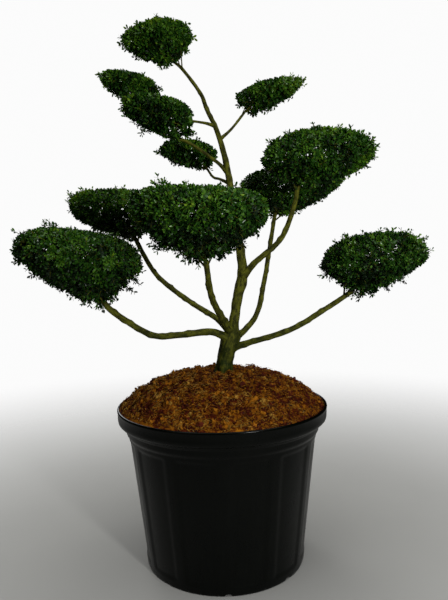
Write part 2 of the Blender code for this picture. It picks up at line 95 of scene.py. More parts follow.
# Mulch: a dome from just under the lip up to the trunk's foot.
GROUND = 0.620
FILL_EDGE = 0.510
SEAT_RADIUS = 0.060
FILL_RADIUS = RIM_RADIUS - 0.0076
DOME_POWER = 2.7
HEAP_ANGLE = math.radians(205.0)  # where the fill is heaped against the lip
HEAP_HEIGHT = 0.010
LUMP_SCALE = 42.0  # small lumps to the metre
SWELL_SCALE = 13.0  # wide swells under them to the metre
DRIFT_SCALE = 24.0  # pale and dark patches to the metre
DRIFT_CONTRAST = 1.7
# Painted shade: the crown's shadow is painted onto the +X side of the mulch.
PAINTED_SHADE_REACH = 0.8  # the mulch is darker by 1 this far out on the +X side
LIP_GAP = 0.0006  # that loose mulch keeps from the lip
STRAY_SHARE = 0.012  # fibres that stand up from the surface
FIBRE_TINTS = (0.10, 0.52, 0.38)  # shares of straw, ochre and rust
CLOD_TINTS = (0.02, 0.52, 0.46)
CHIP_TINTS = (0.62, 0.38)  # shares of dark and red

# Wood: each row of the trunk is (x, y, z, radius) of its centre line.
TRUNK_SIDES, BOUGH_SIDES = 36, 24
FLARE_HEIGHT = 0.045
FLARE_LOBE = 0.12
FOOT_SWELL = 0.55  # how much thicker a bough is where it leaves the trunk
FOOT_SWELL_REACH = 0.022
TRUNK_LINE = (
    (0.008, 0.000, GROUND, 0.0285),
    (0.016, 0.002, 0.677, 0.0260),
    (0.030, 0.004, 0.722, 0.0290),
    (0.047, 0.006, 0.790, 0.0165),
    (0.063, 0.008, 0.880, 0.0165),
    (0.078, 0.008, 0.945, 0.0172),
    (0.073, 0.004, 1.020, 0.0138),
    (0.037, -0.004, 1.284, 0.0104),
    (0.008, 0.000, 1.407, 0.0082),
    (-0.025, 0.003, 1.483, 0.0070),
    (-0.045, 0.004, 1.536, 0.0062),
    (-0.098, 0.003, 1.610, 0.0052),
    (-0.126, 0.002, 1.636, 0.0046),
)
Bough = namedtuple("Bough", "name line foot_radius tip_radius")
BOUGHS = (
    Bough(
        "bough_low_left",
        (
            (0.030, -0.002, 0.728),
            (-0.028, -0.030, 0.760),
            (-0.131, -0.050, 0.755),
            (-0.221, -0.066, 0.760),
            (-0.333, -0.092, 0.836),
            (-0.366, -0.100, 0.876),
        ),
        0.0115,
        0.0090,
    ),
    Bough(
        "bough_left_back",
        (
            (0.036, 0.006, 0.750),
            (-0.016, 0.044, 0.800),
            (-0.108, 0.090, 0.856),
            (-0.228, 0.165, 0.951),
            (-0.306, 0.221, 1.081),
        ),
        0.0100,
        0.0080,
    ),
    Bough(
        "bough_front",
        (
            (0.034, 0.000, 0.762),
            (0.012, -0.040, 0.797),
            (-0.022, -0.137, 0.880),
            (-0.034, -0.255, 0.990),
        ),
        0.0125,
        0.0080,
    ),
    Bough(
        "bough_right_front",
        (
            (0.079, 0.006, 0.938),
            (0.125, -0.016, 0.988),
            (0.205, -0.032, 1.059),
            (0.247, -0.046, 1.162),
            (0.259, -0.052, 1.226),
        ),
        0.0100,
        0.0070,
    ),
    Bough(
        "bough_right_back",
        (
            (0.034, 0.006, 0.722),
            (0.087, 0.040, 0.759),
            (0.128, 0.064, 0.811),
            (0.156, 0.102, 0.911),
            (0.193, 0.162, 1.088),
            (0.206, 0.180, 1.160),
        ),
        0.0105,
        0.0068,
    ),
    Bough(
        "bough_low_right",
        (
            (0.024, 0.002, 0.696),
            (0.088, -0.004, 0.716),
            (0.233, -0.006, 0.758),
            (0.347, 0.000, 0.821),
            (0.440, 0.000, 0.880),
        ),
        0.0108,
        0.0080,
    ),
    Bough(
        "bough_upper_left_back",
        (
            (0.037, -0.004, 1.278),
            (-0.003, 0.000, 1.319),
            (-0.096, 0.000, 1.383),
            (-0.187, 0.019, 1.416),
            (-0.300, 0.076, 1.520),
            (-0.303, 0.086, 1.574),
        ),
        0.0056,
        0.0042,
    ),
    Bough(
        "bough_upper_left",
        (
            (-0.004, 0.000, 1.431),
            (-0.034, -0.034, 1.432),
            (-0.092, -0.108, 1.424),
        ),
        0.0044,
        0.0036,
    ),
    Bough(
        "bough_middle_back",
        (
            (0.040, -0.004, 1.244),
            (0.010, 0.034, 1.264),
            (-0.013, 0.071, 1.278),
            (-0.040, 0.122, 1.326),
        ),
        0.0046,
        0.0038,
    ),
    Bough(
        "bough_upper_right",
        (
            (0.014, 0.000, 1.386),
            (0.055, 0.018, 1.425),
            (0.104, 0.040, 1.488),
        ),
        0.0046,
        0.0038,
    ),
)

# Each pad of leaves: its brim's centre, its half widths, its heights above and below the
# brim, the brim's slope along X, and how square its shoulders and how round its underside
# are (1 is a cone and 2 a bowl). A limb's tip carries it.
Pad = namedtuple("Pad", "name limb centre half rise drop slope square bowl seed")
PADS = (
    Pad(
        "foliage_top", "trunk",
        (-0.177, 0.000, 1.708), (0.122, 0.104), 0.059, 0.094, 0.08, 1.8, 1.2, 11,
    ),
    Pad(
        "foliage_upper_left_back", "bough_upper_left_back",
        (-0.288, 0.092, 1.598), (0.103, 0.082), 0.037, 0.053, -0.20, 2.3, 1.6, 12,
    ),
    Pad(
        "foliage_upper_left", "bough_upper_left",
        (-0.173, -0.120, 1.449), (0.114, 0.088), 0.041, 0.077, -0.18, 3.0, 1.9, 13,
    ),
    Pad(
        "foliage_middle_back", "bough_middle_back",
        (-0.098, 0.132, 1.373), (0.106, 0.079), 0.043, 0.064, -0.09, 2.5, 1.5, 14,
    ),
    Pad(
        "foliage_upper_right", "bough_upper_right",
        (0.182, 0.050, 1.552), (0.117, 0.080), 0.033, 0.078, 0.20, 1.9, 1.25, 15,
    ),
    Pad(
        "foliage_right_front", "bough_right_front",
        (0.325, -0.062, 1.313), (0.186, 0.122), 0.092, 0.096, 0.04, 2.0, 1.7, 16,
    ),
    Pad(
        "foliage_right_back", "bough_right_back",
        (0.275, 0.200, 1.262), (0.194, 0.124), 0.070, 0.125, 0.08, 3.0, 1.25, 17,
    ),
    Pad(
        "foliage_low_right", "bough_low_right",
        (0.513, 0.000, 0.972), (0.181, 0.142), 0.106, 0.116, 0.09, 2.3, 1.15, 18,
    ),
    Pad(
        "foliage_centre_front", "bough_front",
        (-0.049, -0.302, 1.123), (0.199, 0.164), 0.070, 0.144, -0.05, 3.5, 1.35, 19,
    ),
    Pad(
        "foliage_left_back", "bough_left_back",
        (-0.379, 0.250, 1.201), (0.178, 0.134), 0.064, 0.130, -0.02, 3.5, 1.5, 20,
    ),
    Pad(
        "foliage_low_left", "bough_low_left",
        (-0.436, -0.100, 1.007), (0.202, 0.164), 0.095, 0.153, -0.14, 2.6, 1.22, 21,
    ),
)
APEX_POWER = 2.5  # how late, going down, a pad's middle moves across to its limb

# Growth inside a pad: each level's nodes lie at a share of the way to the pad's surface.
HUB_DROP = 0.2
FORKS_PER_AREA = 230.0  # main forks over half width x depth, as the solids have
Level = namedtuple("Level", "ratio share foot_radius tip_radius")
LEVELS = (
    Level(1.0, 0.55, 0.0030, 0.0022),
    Level(5.5, 0.70, 0.0022, 0.0015),
    Level(4.2, 0.83, 0.0015, 0.0011),
)
SHOOT_FOOT = 0.0012
SHOOT_TIP = 0.0008
SIDE_TWIGS = 3  # that leave a limb just below its pad

# Shoots end a little under the clipped outline: by a mean depth, and more or less by clump, by
# tuft and by chance. Some end deeper, and some stand proud of it.
SHEAR_DEPTH = 0.010
CLUMP_DEPTH = 0.008
CLUMP_SCALE = 24.0
TUFT_DEPTH = 0.009
TUFT_SCALE = 75.0
CHANCE_DEPTH = 0.006
DEEPER_SHARE = 0.2
DEEPER_FROM, DEEPER_TO = 0.014, 0.030
PROUD_SHARE = 0.014
PROUD_SHARE_BELOW = 0.026  # more of them on the underside
PROUD_FROM, PROUD_TO = 0.002, 0.012
PROUD_ALLOWANCE = 0.016  # how far the leaves of such a shoot may pass the outline
SPRIG_ALLOWANCE = 0.045
SPRIG_SHARES = (1.0, 0.94, 0.88, 0.82)  # of the way out, where the shoots of a sprig end

# A leaf's age runs from 0 for new growth to 3 for old leaves inside and below. Its tint is also lighter high
# up and darker low down as painted light.
MEAN_AGE = 1.92
AGE_AND_LIGHT_BY_HEIGHT = 0.62  # younger towards a pad's top: new growth there, and painted light from above
AGE_BY_PATCH = 0.90
AGE_BY_SPRAY = 0.32
AGE_BY_LEAF = 0.40
AGE_ALONG_SHOOT = 0.13
PAINTED_LIGHT_BY_PAD_HEIGHT = 1.3  # painted light: lighter tints in the high pads and darker in the low ones, per metre from the even height
EVEN_HEIGHT = 1.25

WOOD_CLEARANCE = 0.002
PAD_CLEARANCE = 0.004
GOLDEN_ANGLE = math.pi * (3 - math.sqrt(5))

# A leaf's outline as (along, across, up), in shares of its length, half its width and its curl.
LEAF_OUTLINE = (
    (0.00, 0.00, 0.00),
    (0.30, 0.86, -0.55),
    (0.72, 0.90, -0.80),
    (1.00, 0.00, -0.40),
    (0.72, -0.90, -0.80),
    (0.30, -0.86, -0.55),
)
LEAF_FACES = ((0, 1, 2), (0, 2, 3), (0, 3, 4), (0, 4, 5))
LEAF_EDGE, LEAF_TIP = 2, 3

# Single shoots that the shears missed, by the place of their tips: up from the brims, and
# hanging below.
SPRIGS = {
    "foliage_top": (
        (-0.302, 0.0, 1.716), (-0.181, 0.0, 1.780), (-0.081, 0.0, 1.666), (-0.173, 0.0, 1.617),
        (-0.150, -0.02, 1.612),
    ),
    "foliage_upper_left_back": ((-0.394, 0.092, 1.630), (-0.185, 0.092, 1.573)),
    "foliage_upper_left": (
        (-0.111, -0.12, 1.405), (-0.284, -0.12, 1.450), (-0.128, -0.12, 1.365), (-0.150, -0.13, 1.370),
        (-0.225, -0.12, 1.385),
    ),
    "foliage_middle_back": ((-0.214, 0.132, 1.376), (-0.004, 0.132, 1.362)),
    "foliage_upper_right": (
        (0.074, 0.05, 1.502), (0.066, 0.03, 1.535), (0.303, 0.05, 1.588), (0.259, 0.05, 1.599),
    ),
    "foliage_right_front": (
        (0.163, -0.062, 1.371), (0.472, -0.062, 1.391), (0.512, -0.062, 1.303), (0.487, -0.062, 1.275),
    ),
    "foliage_low_right": (
        (0.419, 0.0, 1.073), (0.407, 0.0, 1.060), (0.637, 0.0, 1.081), (0.690, 0.0, 1.047),
        (0.690, 0.0, 0.985), (0.332, 0.0, 0.930), (0.340, 0.02, 0.962), (0.617, 0.0, 0.905),
        (0.563, 0.0, 0.880), (0.507, 0.0, 0.863),
    ),
    "foliage_centre_front": (
        (-0.157, -0.302, 1.228), (-0.176, -0.302, 1.212), (-0.084, -0.302, 1.211), (0.018, -0.302, 1.206),
        (0.012, -0.282, 1.004), (0.033, -0.272, 1.018), (0.020, -0.290, 1.012), (-0.179, -0.272, 1.028),
        (-0.168, -0.280, 1.020), (-0.190, -0.262, 1.040), (-0.078, -0.272, 0.984), (-0.056, -0.282, 0.970),
        (-0.095, -0.282, 0.992),
    ),
    "foliage_left_back": ((-0.555, 0.25, 1.259), (-0.510, 0.25, 1.274)),
    "foliage_low_left": (
        (-0.533, -0.1, 1.131), (-0.540, -0.1, 1.120), (-0.508, -0.1, 1.118), (-0.630, -0.1, 1.097),
        (-0.638, -0.1, 1.004), (-0.244, -0.1, 0.922), (-0.252, -0.12, 0.940), (-0.264, -0.1, 0.902),
        (-0.276, -0.15, 0.931), (-0.369, -0.1, 0.846), (-0.385, -0.1, 0.852), (-0.415, -0.14, 0.870),
        (-0.591, -0.1, 0.955),
    ),
}

# Lamps: (place, where it points, width).
KEY_LAMP = ((1.20, -2.30, 1.20), (0.0, 0.0, 1.25), 0.3)
FILL_LAMP = ((-2.0, -2.2, 1.3), (0.0, 0.0, 1.0), 1.6)
BACK_LAMP = ((-1.3, 2.7, 1.9), (0.0, 0.0, 1.0), 1.6)
OVERHEAD_ANGLE = math.radians(70)  # how wide the soft light from above is
FLOOR_REACH = 4.0


def linear(hex_colour):
    """The linear red, green and blue of an sRGB hex colour."""
    values = [int(hex_colour[i : i + 2], 16) / 255 for i in (1, 3, 5)]
    return tuple(v / 12.92 if v <= 0.04045 else ((v + 0.055) / 1.055) ** 2.4 for v in values)


# Settings


class PotSettings(bpy.types.PropertyGroup):
    plastic: bpy.props.FloatVectorProperty(
        name="Plastic", description="Colour of the moulded polypropylene",
        subtype="COLOR", min=0.0, max=1.0, default=linear("#040604"),
    )
    dust: bpy.props.FloatVectorProperty(
        name="Dust", description="Colour of the dry dust and algae film on the wall",
        subtype="COLOR", min=0.0, max=1.0, default=linear("#090c08"),
    )
    roughness: bpy.props.FloatProperty(
        name="Roughness", description="Roughness of the plastic where it is clean",
        min=0.0, max=1.0, default=0.27,
    )
    flute_depth: bpy.props.FloatProperty(
        name="Flute Depth", description="How far each shallow flute is drawn into the wall",
        unit="LENGTH", min=0.0, max=0.008, default=0.003,
    )
    segments: bpy.props.IntProperty(
        name="Segments", description="Faces round the pot for each flute", min=8, max=48, default=26,
    )


class MulchSettings(bpy.types.PropertyGroup):
    fibre: bpy.props.FloatVectorProperty(
        name="Fibre", description="Colour of the orange-brown coir fibres",
        subtype="COLOR", min=0.0, max=1.0, default=linear("#b47214"),
    )
    rust: bpy.props.FloatVectorProperty(
        name="Rust", description="Colour of the red-brown fibres",
        subtype="COLOR", min=0.0, max=1.0, default=linear("#5a1f0a"),
    )
    straw: bpy.props.FloatVectorProperty(
        name="Straw", description="Colour of the few pale fibres",
        subtype="COLOR", min=0.0, max=1.0, default=linear("#c4953c"),
    )
    chip: bpy.props.FloatVectorProperty(
        name="Chip", description="Colour of the dark bark chips",
        subtype="COLOR", min=0.0, max=1.0, default=linear("#28100a"),
    )
    fibres: bpy.props.IntProperty(
        name="Fibres", description="How many fibres lie on the dome", min=0, max=40000, default=21000,
    )
    fibre_length: bpy.props.FloatProperty(
        name="Fibre Length", description="Mean length of a fibre",
        unit="LENGTH", min=0.005, max=0.06, default=0.019,
    )
    chips: bpy.props.IntProperty(
        name="Chips", description="How many bark chips lie on the dome", min=0, max=8000, default=1800,
    )
    chip_size: bpy.props.FloatProperty(
        name="Chip Size", description="Mean length of a bark chip",
        unit="LENGTH", min=0.003, max=0.03, default=0.010,
    )
    clods: bpy.props.IntProperty(
        name="Clods", description="How many crumbs of matted fibre lie on the dome",
        min=0, max=4000, default=1400,
    )
    clod_size: bpy.props.FloatProperty(
        name="Clod Size", description="Mean width of a crumb",
        unit="LENGTH", min=0.003, max=0.03, default=0.0105,
    )
    lump_height: bpy.props.FloatProperty(
        name="Lump Height", description="Height of the lumps of the mulch's surface",
        unit="LENGTH", min=0.0, max=0.02, default=0.016,
    )


class WoodSettings(bpy.types.PropertyGroup):
    bark: bpy.props.FloatVectorProperty(
        name="Bark", description="Colour of the living bark",
        subtype="COLOR", min=0.0, max=1.0, default=linear("#727420"),
    )
    # Painted shade in the bark's grooves; the same colour also marks its random stains.
    shade: bpy.props.FloatVectorProperty(
        name="Wrinkles", description="Colour in the wrinkles and round the knobs",
        subtype="COLOR", min=0.0, max=1.0, default=linear("#2c2a10"),
    )
    # The low film's colour: real algae, and painted shade under the crown.
    algae_and_painted_shade: bpy.props.FloatVectorProperty(
        name="Algae", description="Colour of the green film near the ground",
        subtype="COLOR", min=0.0, max=1.0, default=linear("#1c2e0a"),
    )
    ring_step: bpy.props.FloatProperty(
        name="Ring Step", description="Length of the faces along a limb",
        unit="LENGTH", min=0.002, max=0.02, default=0.0036,
    )
    wrinkle: bpy.props.FloatProperty(
        name="Wrinkle", description="Height of the bark's relief, as a share of the limb's radius",
        min=0.0, max=0.3, default=0.085,
    )
    knob_spacing: bpy.props.FloatProperty(
        name="Knob Spacing", description="Mean distance between the knobs of cut twigs",
        unit="LENGTH", min=0.01, max=0.2, default=0.034,
    )


class FoliageSettings(bpy.types.PropertyGroup):
    leaf_length: bpy.props.FloatProperty(
        name="Leaf Length", description="Mean length of a grown leaf",
        unit="LENGTH", min=0.008, max=0.04, default=0.0134,
    )
    leaf_width: bpy.props.FloatProperty(
        name="Leaf Width", description="Width of a leaf, as a share of its length",
        min=0.2, max=1.0, default=0.54,
    )
    leaf_curl: bpy.props.FloatProperty(
        name="Leaf Curl", description="How far a leaf's edge lies below its middle, over its length",
        min=0.0, max=0.5, default=0.12,
    )
    leaf_step: bpy.props.FloatProperty(
        name="Leaf Step", description="Distance between the leaves of a shoot",
        unit="LENGTH", min=0.001, max=0.02, default=0.0028,
    )
    fewest_leaves: bpy.props.IntProperty(
        name="Fewest Leaves", description="Leaves on the shortest shoot", min=1, max=20, default=8,
    )
    most_leaves: bpy.props.IntProperty(
        name="Most Leaves", description="Leaves on the longest shoot", min=1, max=30, default=11,
    )
    shoots_per_area: bpy.props.FloatProperty(
        name="Shoots per Area", description="Shoots on a pad, over its half width times half depth",
        min=1000.0, max=200000.0, default=98000.0,
    )
    new_leaf: bpy.props.FloatVectorProperty(
        name="New Leaf", description="Colour of the soft yellow-green growth at the tips",
        subtype="COLOR", min=0.0, max=1.0, default=linear("#789a24"),
    )
    light_leaf: bpy.props.FloatVectorProperty(
        name="Light Leaf", description="Colour of this year's leaves",
        subtype="COLOR", min=0.0, max=1.0, default=linear("#4e7a1e"),
    )
    green_leaf: bpy.props.FloatVectorProperty(
        name="Green Leaf", description="Colour of most grown leaves",
        subtype="COLOR", min=0.0, max=1.0, default=linear("#2a5214"),
    )
    dark_leaf: bpy.props.FloatVectorProperty(
        name="Dark Leaf", description="Colour of the old leaves inside and below",
        subtype="COLOR", min=0.0, max=1.0, default=linear("#10240a"),
    )


class StageSettings(bpy.types.PropertyGroup):
    floor: bpy.props.FloatVectorProperty(
        name="Floor", description="Colour of the pale floor round the pot",
        subtype="COLOR", min=0.0, max=1.0, default=linear("#b0b0ac"),
    )
    surround: bpy.props.FloatProperty(
        name="Surround", description="Brightness of the white surround", min=0.0, max=5.0, default=0.97,
    )
    overhead_strength: bpy.props.FloatProperty(
        name="Overhead Light", description="Strength of the wide soft light from above",
        min=0.0, max=20.0, default=1.9,
    )
    key_power: bpy.props.FloatProperty(
        name="Key Light", description="Power of the lamp in front on the right",
        unit="POWER", min=0.0, max=1000.0, default=29.5,
    )
    fill_power: bpy.props.FloatProperty(
        name="Fill Light", description="Power of the lamp in front on the left",
        unit="POWER", min=0.0, max=1000.0, default=1.5,
    )
    back_power: bpy.props.FloatProperty(
        name="Back Light", description="Power of the lamp behind on the left",
        unit="POWER", min=0.0, max=1000.0, default=20.0,
    )
    camera_place: bpy.props.FloatVectorProperty(
        name="Camera", description="Where the camera stands",
        subtype="TRANSLATION", unit="LENGTH", default=(0.015, -1.856, 0.983),
    )
    camera_pitch: bpy.props.FloatProperty(
        name="Pitch", description="How far the camera looks down",
        subtype="ANGLE", unit="ROTATION", default=math.radians(3.74),
    )
    camera_roll: bpy.props.FloatProperty(
        name="Roll", description="How far the camera leans to its right",
        subtype="ANGLE", unit="ROTATION", default=math.radians(1.42),
    )
    lens: bpy.props.FloatProperty(
        name="Lens", description="Focal length on a frame 36 mm high", min=10.0, max=200.0, default=33.6,
    )


class HollySettings(bpy.types.PropertyGroup):
    pot: bpy.props.PointerProperty(type=PotSettings, name="Pot", description="The nursery pot")
    mulch: bpy.props.PointerProperty(type=MulchSettings, name="Mulch", description="The fill's surface")
    wood: bpy.props.PointerProperty(type=WoodSettings, name="Wood", description="Trunk and boughs")
    foliage: bpy.props.PointerProperty(type=FoliageSettings, name="Foliage", description="The pads")
    stage: bpy.props.PointerProperty(type=StageSettings, name="Stage", description="Floor and light")


# Materials


def add_node(tree, kind, values=None, links=None, stops=None, **settings):
    """Adds a node with its settings, the values of its inputs, its links and a ramp's stops."""
    node = tree.nodes.new(kind)
    for name, value in settings.items():
        setattr(node, name, value)
    for key, value in (values or {}).items():
        node.inputs[key].default_value = value
    for key, socket in (links or {}).items():
        tree.links.new(socket, node.inputs[key])
    if stops:
        elements = node.color_ramp.elements
        while len(elements) < len(stops):
            elements.new(1.0)
        for element, (place, colour) in zip(elements, stops):
            element.position = place
            element.color = (*colour, 1.0)
    return node


def start_material(name, **values):
    """A new material, its node tree and its shader with constant values on its sockets."""
    material = bpy.data.materials.new(name)
    material.use_nodes = True
    tree = material.node_tree
    shader = tree.nodes["Principled BSDF"]
    for key, value in values.items():
        shader.inputs[key.replace("_", " ")].default_value = value
    return material, tree, shader


def per_metre(millimetres):
    """The scale of a pattern whose features are that many millimetres apart."""
    return 1000.0 / millimetres


def polypropylene(settings):
    """Polypropylene, injection moulded in black: a soft sheen, broken by dust and handling scuffs."""
    material, tree, shader = start_material(
        "moulded_polypropylene", Metallic=0.0, IOR=1.49, Specular_IOR_Level=0.12
    )
    place = add_node(tree, "ShaderNodeTexCoord").outputs["Object"]
    film = add_node(
        tree, "ShaderNodeTexNoise", {"Scale": per_metre(70), "Detail": 5.0, "Roughness": 0.62},
        {"Vector": place},
    )
    upright = add_node(
        tree, "ShaderNodeMapping", {"Scale": (1.0, 1.0, 0.06)}, {"Vector": place}
    )
    runs = add_node(
        tree, "ShaderNodeTexNoise", {"Scale": per_metre(9), "Detail": 3.0}, {"Vector": upright.outputs[0]}
    )
    dusty = add_node(
        tree, "ShaderNodeMath", {}, {0: film.outputs[0], 1: runs.outputs[0]}, operation="MULTIPLY"
    )
    cover = add_node(
        tree, "ShaderNodeMapRange", {"From Min": 0.16, "From Max": 0.46, "To Max": 0.55},
        {"Value": dusty.outputs[0]},
    )
    colour = add_node(
        tree, "ShaderNodeMix", {6: (*settings.plastic, 1.0), 7: (*settings.dust, 1.0)},
        {0: cover.outputs[0]}, data_type="RGBA",
    )
    rough = add_node(
        tree, "ShaderNodeMapRange", {"To Min": settings.roughness, "To Max": settings.roughness + 0.22},
        {"Value": cover.outputs[0]},
    )
    height = add_node(tree, "ShaderNodeSeparateXYZ", links={0: place})
    lip = add_node(
        tree, "ShaderNodeMapRange",
        {"From Min": POT_HEIGHT - 0.012, "From Max": POT_HEIGHT - 0.007, "To Min": 1.0, "To Max": 0.6},
        {"Value": height.outputs["Z"]},
    )
    handled = add_node(
        tree, "ShaderNodeMath", {}, {0: rough.outputs[0], 1: lip.outputs[0]}, operation="MULTIPLY"
    )
    # The mould's grain is finer than a millimetre, and is drawn coarser so that it shows.
    grain = add_node(
        tree, "ShaderNodeTexNoise", {"Scale": per_metre(1.6), "Detail": 2.0}, {"Vector": place}
    )
    ripple = add_node(
        tree, "ShaderNodeTexNoise", {"Scale": per_metre(45), "Detail": 1.0}, {"Vector": place}
    )
    coarse = add_node(
        tree, "ShaderNodeBump", {"Strength": 0.15, "Distance": 0.003}, {"Height": ripple.outputs[0]}
    )
    fine = add_node(
        tree, "ShaderNodeBump", {"Strength": 0.12, "Distance": 0.0006},
        {"Height": grain.outputs[0], "Normal": coarse.outputs[0]},
    )
    tree.links.new(colour.outputs[2], shader.inputs["Base Color"])
    tree.links.new(handled.outputs[0], shader.inputs["Roughness"])
    tree.links.new(fine.outputs[0], shader.inputs["Normal"])
    return material


def coir(settings):
    """Shredded coir and bark fines, pressed down by hand: matt, blotched ochre and red-brown."""
    material, tree, shader = start_material(
        "shredded_coir", Metallic=0.0, IOR=1.45, Roughness=0.95, Specular_IOR_Level=0.1
    )
    place = add_node(tree, "ShaderNodeTexCoord").outputs["Object"]
    blotch = add_node(
        tree, "ShaderNodeTexNoise", {"Scale": per_metre(38), "Detail": 6.0, "Roughness": 0.7},
        {"Vector": place},
    )
    colour = add_node(
        tree, "ShaderNodeValToRGB", links={"Fac": blotch.outputs[0]},
        stops=((0.34, settings.chip), (0.47, settings.rust), (0.62, settings.fibre)),
    )
    shreds = add_node(
        tree, "ShaderNodeTexNoise", {"Scale": per_metre(3), "Detail": 4.0, "Roughness": 0.8},
        {"Vector": place},
    )
    bump = add_node(
        tree, "ShaderNodeBump", {"Strength": 0.9, "Distance": 0.003}, {"Height": shreds.outputs[0]}
    )
    tree.links.new(colour.outputs[0], shader.inputs["Base Color"])
    tree.links.new(bump.outputs[0], shader.inputs["Normal"])
    return material


def fibre_material(name, colour, roughness=0.85):
    """Torn plant fibre, dry: matt, and a little darker along some stretches."""
    material, tree, shader = start_material(
        name, Metallic=0.0, IOR=1.45, Roughness=roughness, Specular_IOR_Level=0.2
    )
    place = add_node(tree, "ShaderNodeTexCoord").outputs["Object"]
    stain = add_node(
        tree, "ShaderNodeTexNoise", {"Scale": per_metre(12), "Detail": 3.0}, {"Vector": place}
    )
    shade = add_node(
        tree, "ShaderNodeValToRGB", links={"Fac": stain.outputs[0]},
        stops=((0.35, [c * 0.55 for c in colour]), (0.60, tuple(colour))),
    )
    bump = add_node(
        tree, "ShaderNodeBump", {"Strength": 0.4, "Distance": 0.0008}, {"Height": stain.outputs[0]}
    )
    tree.links.new(shade.outputs[0], shader.inputs["Base Color"])
    tree.links.new(bump.outputs[0], shader.inputs["Normal"])
    return material


def holly_bark(settings):
    """Young holly bark, grown smooth: olive, wrinkled lengthwise, pale dotted, with a green film low down
    that also carries painted shade under the crown.
    """
    material, tree, shader = start_material("holly_bark", Metallic=0.0, IOR=1.45, Specular_IOR_Level=0.15)
    grain = add_node(tree, "ShaderNodeAttribute", attribute_name="grain").outputs["Vector"]
    place = add_node(tree, "ShaderNodeTexCoord").outputs["Object"]
    lengthwise = add_node(
        tree, "ShaderNodeMapping", {"Scale": (1.0, 1.0, 0.22)}, {"Vector": grain}
    )
    streaks = add_node(
        tree, "ShaderNodeTexNoise", {"Scale": per_metre(5), "Detail": 5.0, "Roughness": 0.65},
        {"Vector": lengthwise.outputs[0]},
    )
    # Painted shade: the low streaks, which the bump sinks as grooves, take the shade colour.
    base = add_node(
        tree, "ShaderNodeValToRGB", links={"Fac": streaks.outputs[0]},
        stops=((0.36, settings.shade), (0.56, settings.bark)),
    )
    patches = add_node(
        tree, "ShaderNodeTexNoise", {"Scale": per_metre(22), "Detail": 3.0}, {"Vector": place}
    )
    height = add_node(tree, "ShaderNodeSeparateXYZ", links={0: place})
    # Towards the ground the bark takes the film's colour: real algae, deepened as painted shade under the
    # crown.
    low = add_node(
        tree, "ShaderNodeMapRange",
        {"From Min": GROUND + 0.20, "From Max": GROUND, "To Min": 0.25, "To Max": 1.5},
        {"Value": height.outputs["Z"]},
    )
    film = add_node(
        tree, "ShaderNodeMath", {}, {0: low.outputs[0], 1: patches.outputs[0]}, operation="MULTIPLY",
        use_clamp=True,
    )
    stain = add_node(
        tree, "ShaderNodeMapRange", {"From Min": 0.44, "From Max": 0.60, "To Max": 0.65},
        {"Value": patches.outputs[0]},
    )
    stained = add_node(
        tree, "ShaderNodeMix", {7: (*settings.shade, 1.0)}, {0: stain.outputs[0], 6: base.outputs[0]},
        data_type="RGBA",
    )
    green = add_node(
        tree, "ShaderNodeMix", {7: (*settings.algae_and_painted_shade, 1.0)}, {0: film.outputs[0], 6: stained.outputs[2]},
        data_type="RGBA",
    )
    dots = add_node(
        tree, "ShaderNodeTexVoronoi", {"Scale": per_metre(7)}, {"Vector": grain}
    )
    dot = add_node(
        tree, "ShaderNodeMapRange", {"From Min": 0.16, "From Max": 0.08, "To Max": 0.45},
        {"Value": dots.outputs["Distance"]},
    )
    pale = add_node(
        tree, "ShaderNodeMix", {7: (*linear("#9a9352"), 1.0)}, {0: dot.outputs[0], 6: green.outputs[2]},
        data_type="RGBA",
    )
    rough = add_node(
        tree, "ShaderNodeMapRange", {"To Min": 0.88, "To Max": 0.62}, {"Value": streaks.outputs[0]}
    )
    wrinkles = add_node(
        tree, "ShaderNodeBump", {"Strength": 0.7, "Distance": 0.0012}, {"Height": streaks.outputs[0]}
    )
    tree.links.new(pale.outputs[2], shader.inputs["Base Color"])
    tree.links.new(rough.outputs[0], shader.inputs["Roughness"])
    tree.links.new(wrinkles.outputs[0], shader.inputs["Normal"])
    return material


def leaf_material(name, colour, roughness, coat):
    """A holly leaf, thick and waxy: dull where it is veined, with a bright glint on its cushion."""
    material, tree, shader = start_material(
        name, Metallic=0.0, IOR=1.45, Specular_IOR_Level=0.2, Coat_Weight=coat, Coat_Roughness=0.14
    )
    shader.inputs["Base Color"].default_value = (*colour, 1.0)
    place = add_node(tree, "ShaderNodeTexCoord").outputs["Object"]
    # The veins are under a millimetre apart, and are drawn coarser so that they show.
    veins = add_node(
        tree, "ShaderNodeTexNoise", {"Scale": per_metre(4), "Detail": 2.0}, {"Vector": place}
    )
    rough = add_node(
        tree, "ShaderNodeMapRange", {"To Min": roughness - 0.12, "To Max": roughness + 0.14},
        {"Value": veins.outputs[0]},
    )
    bump = add_node(
        tree, "ShaderNodeBump", {"Strength": 0.25, "Distance": 0.0006}, {"Height": veins.outputs[0]}
    )
    tree.links.new(rough.outputs[0], shader.inputs["Roughness"])
    tree.links.new(bump.outputs[0], shader.inputs["Normal"])
    return material


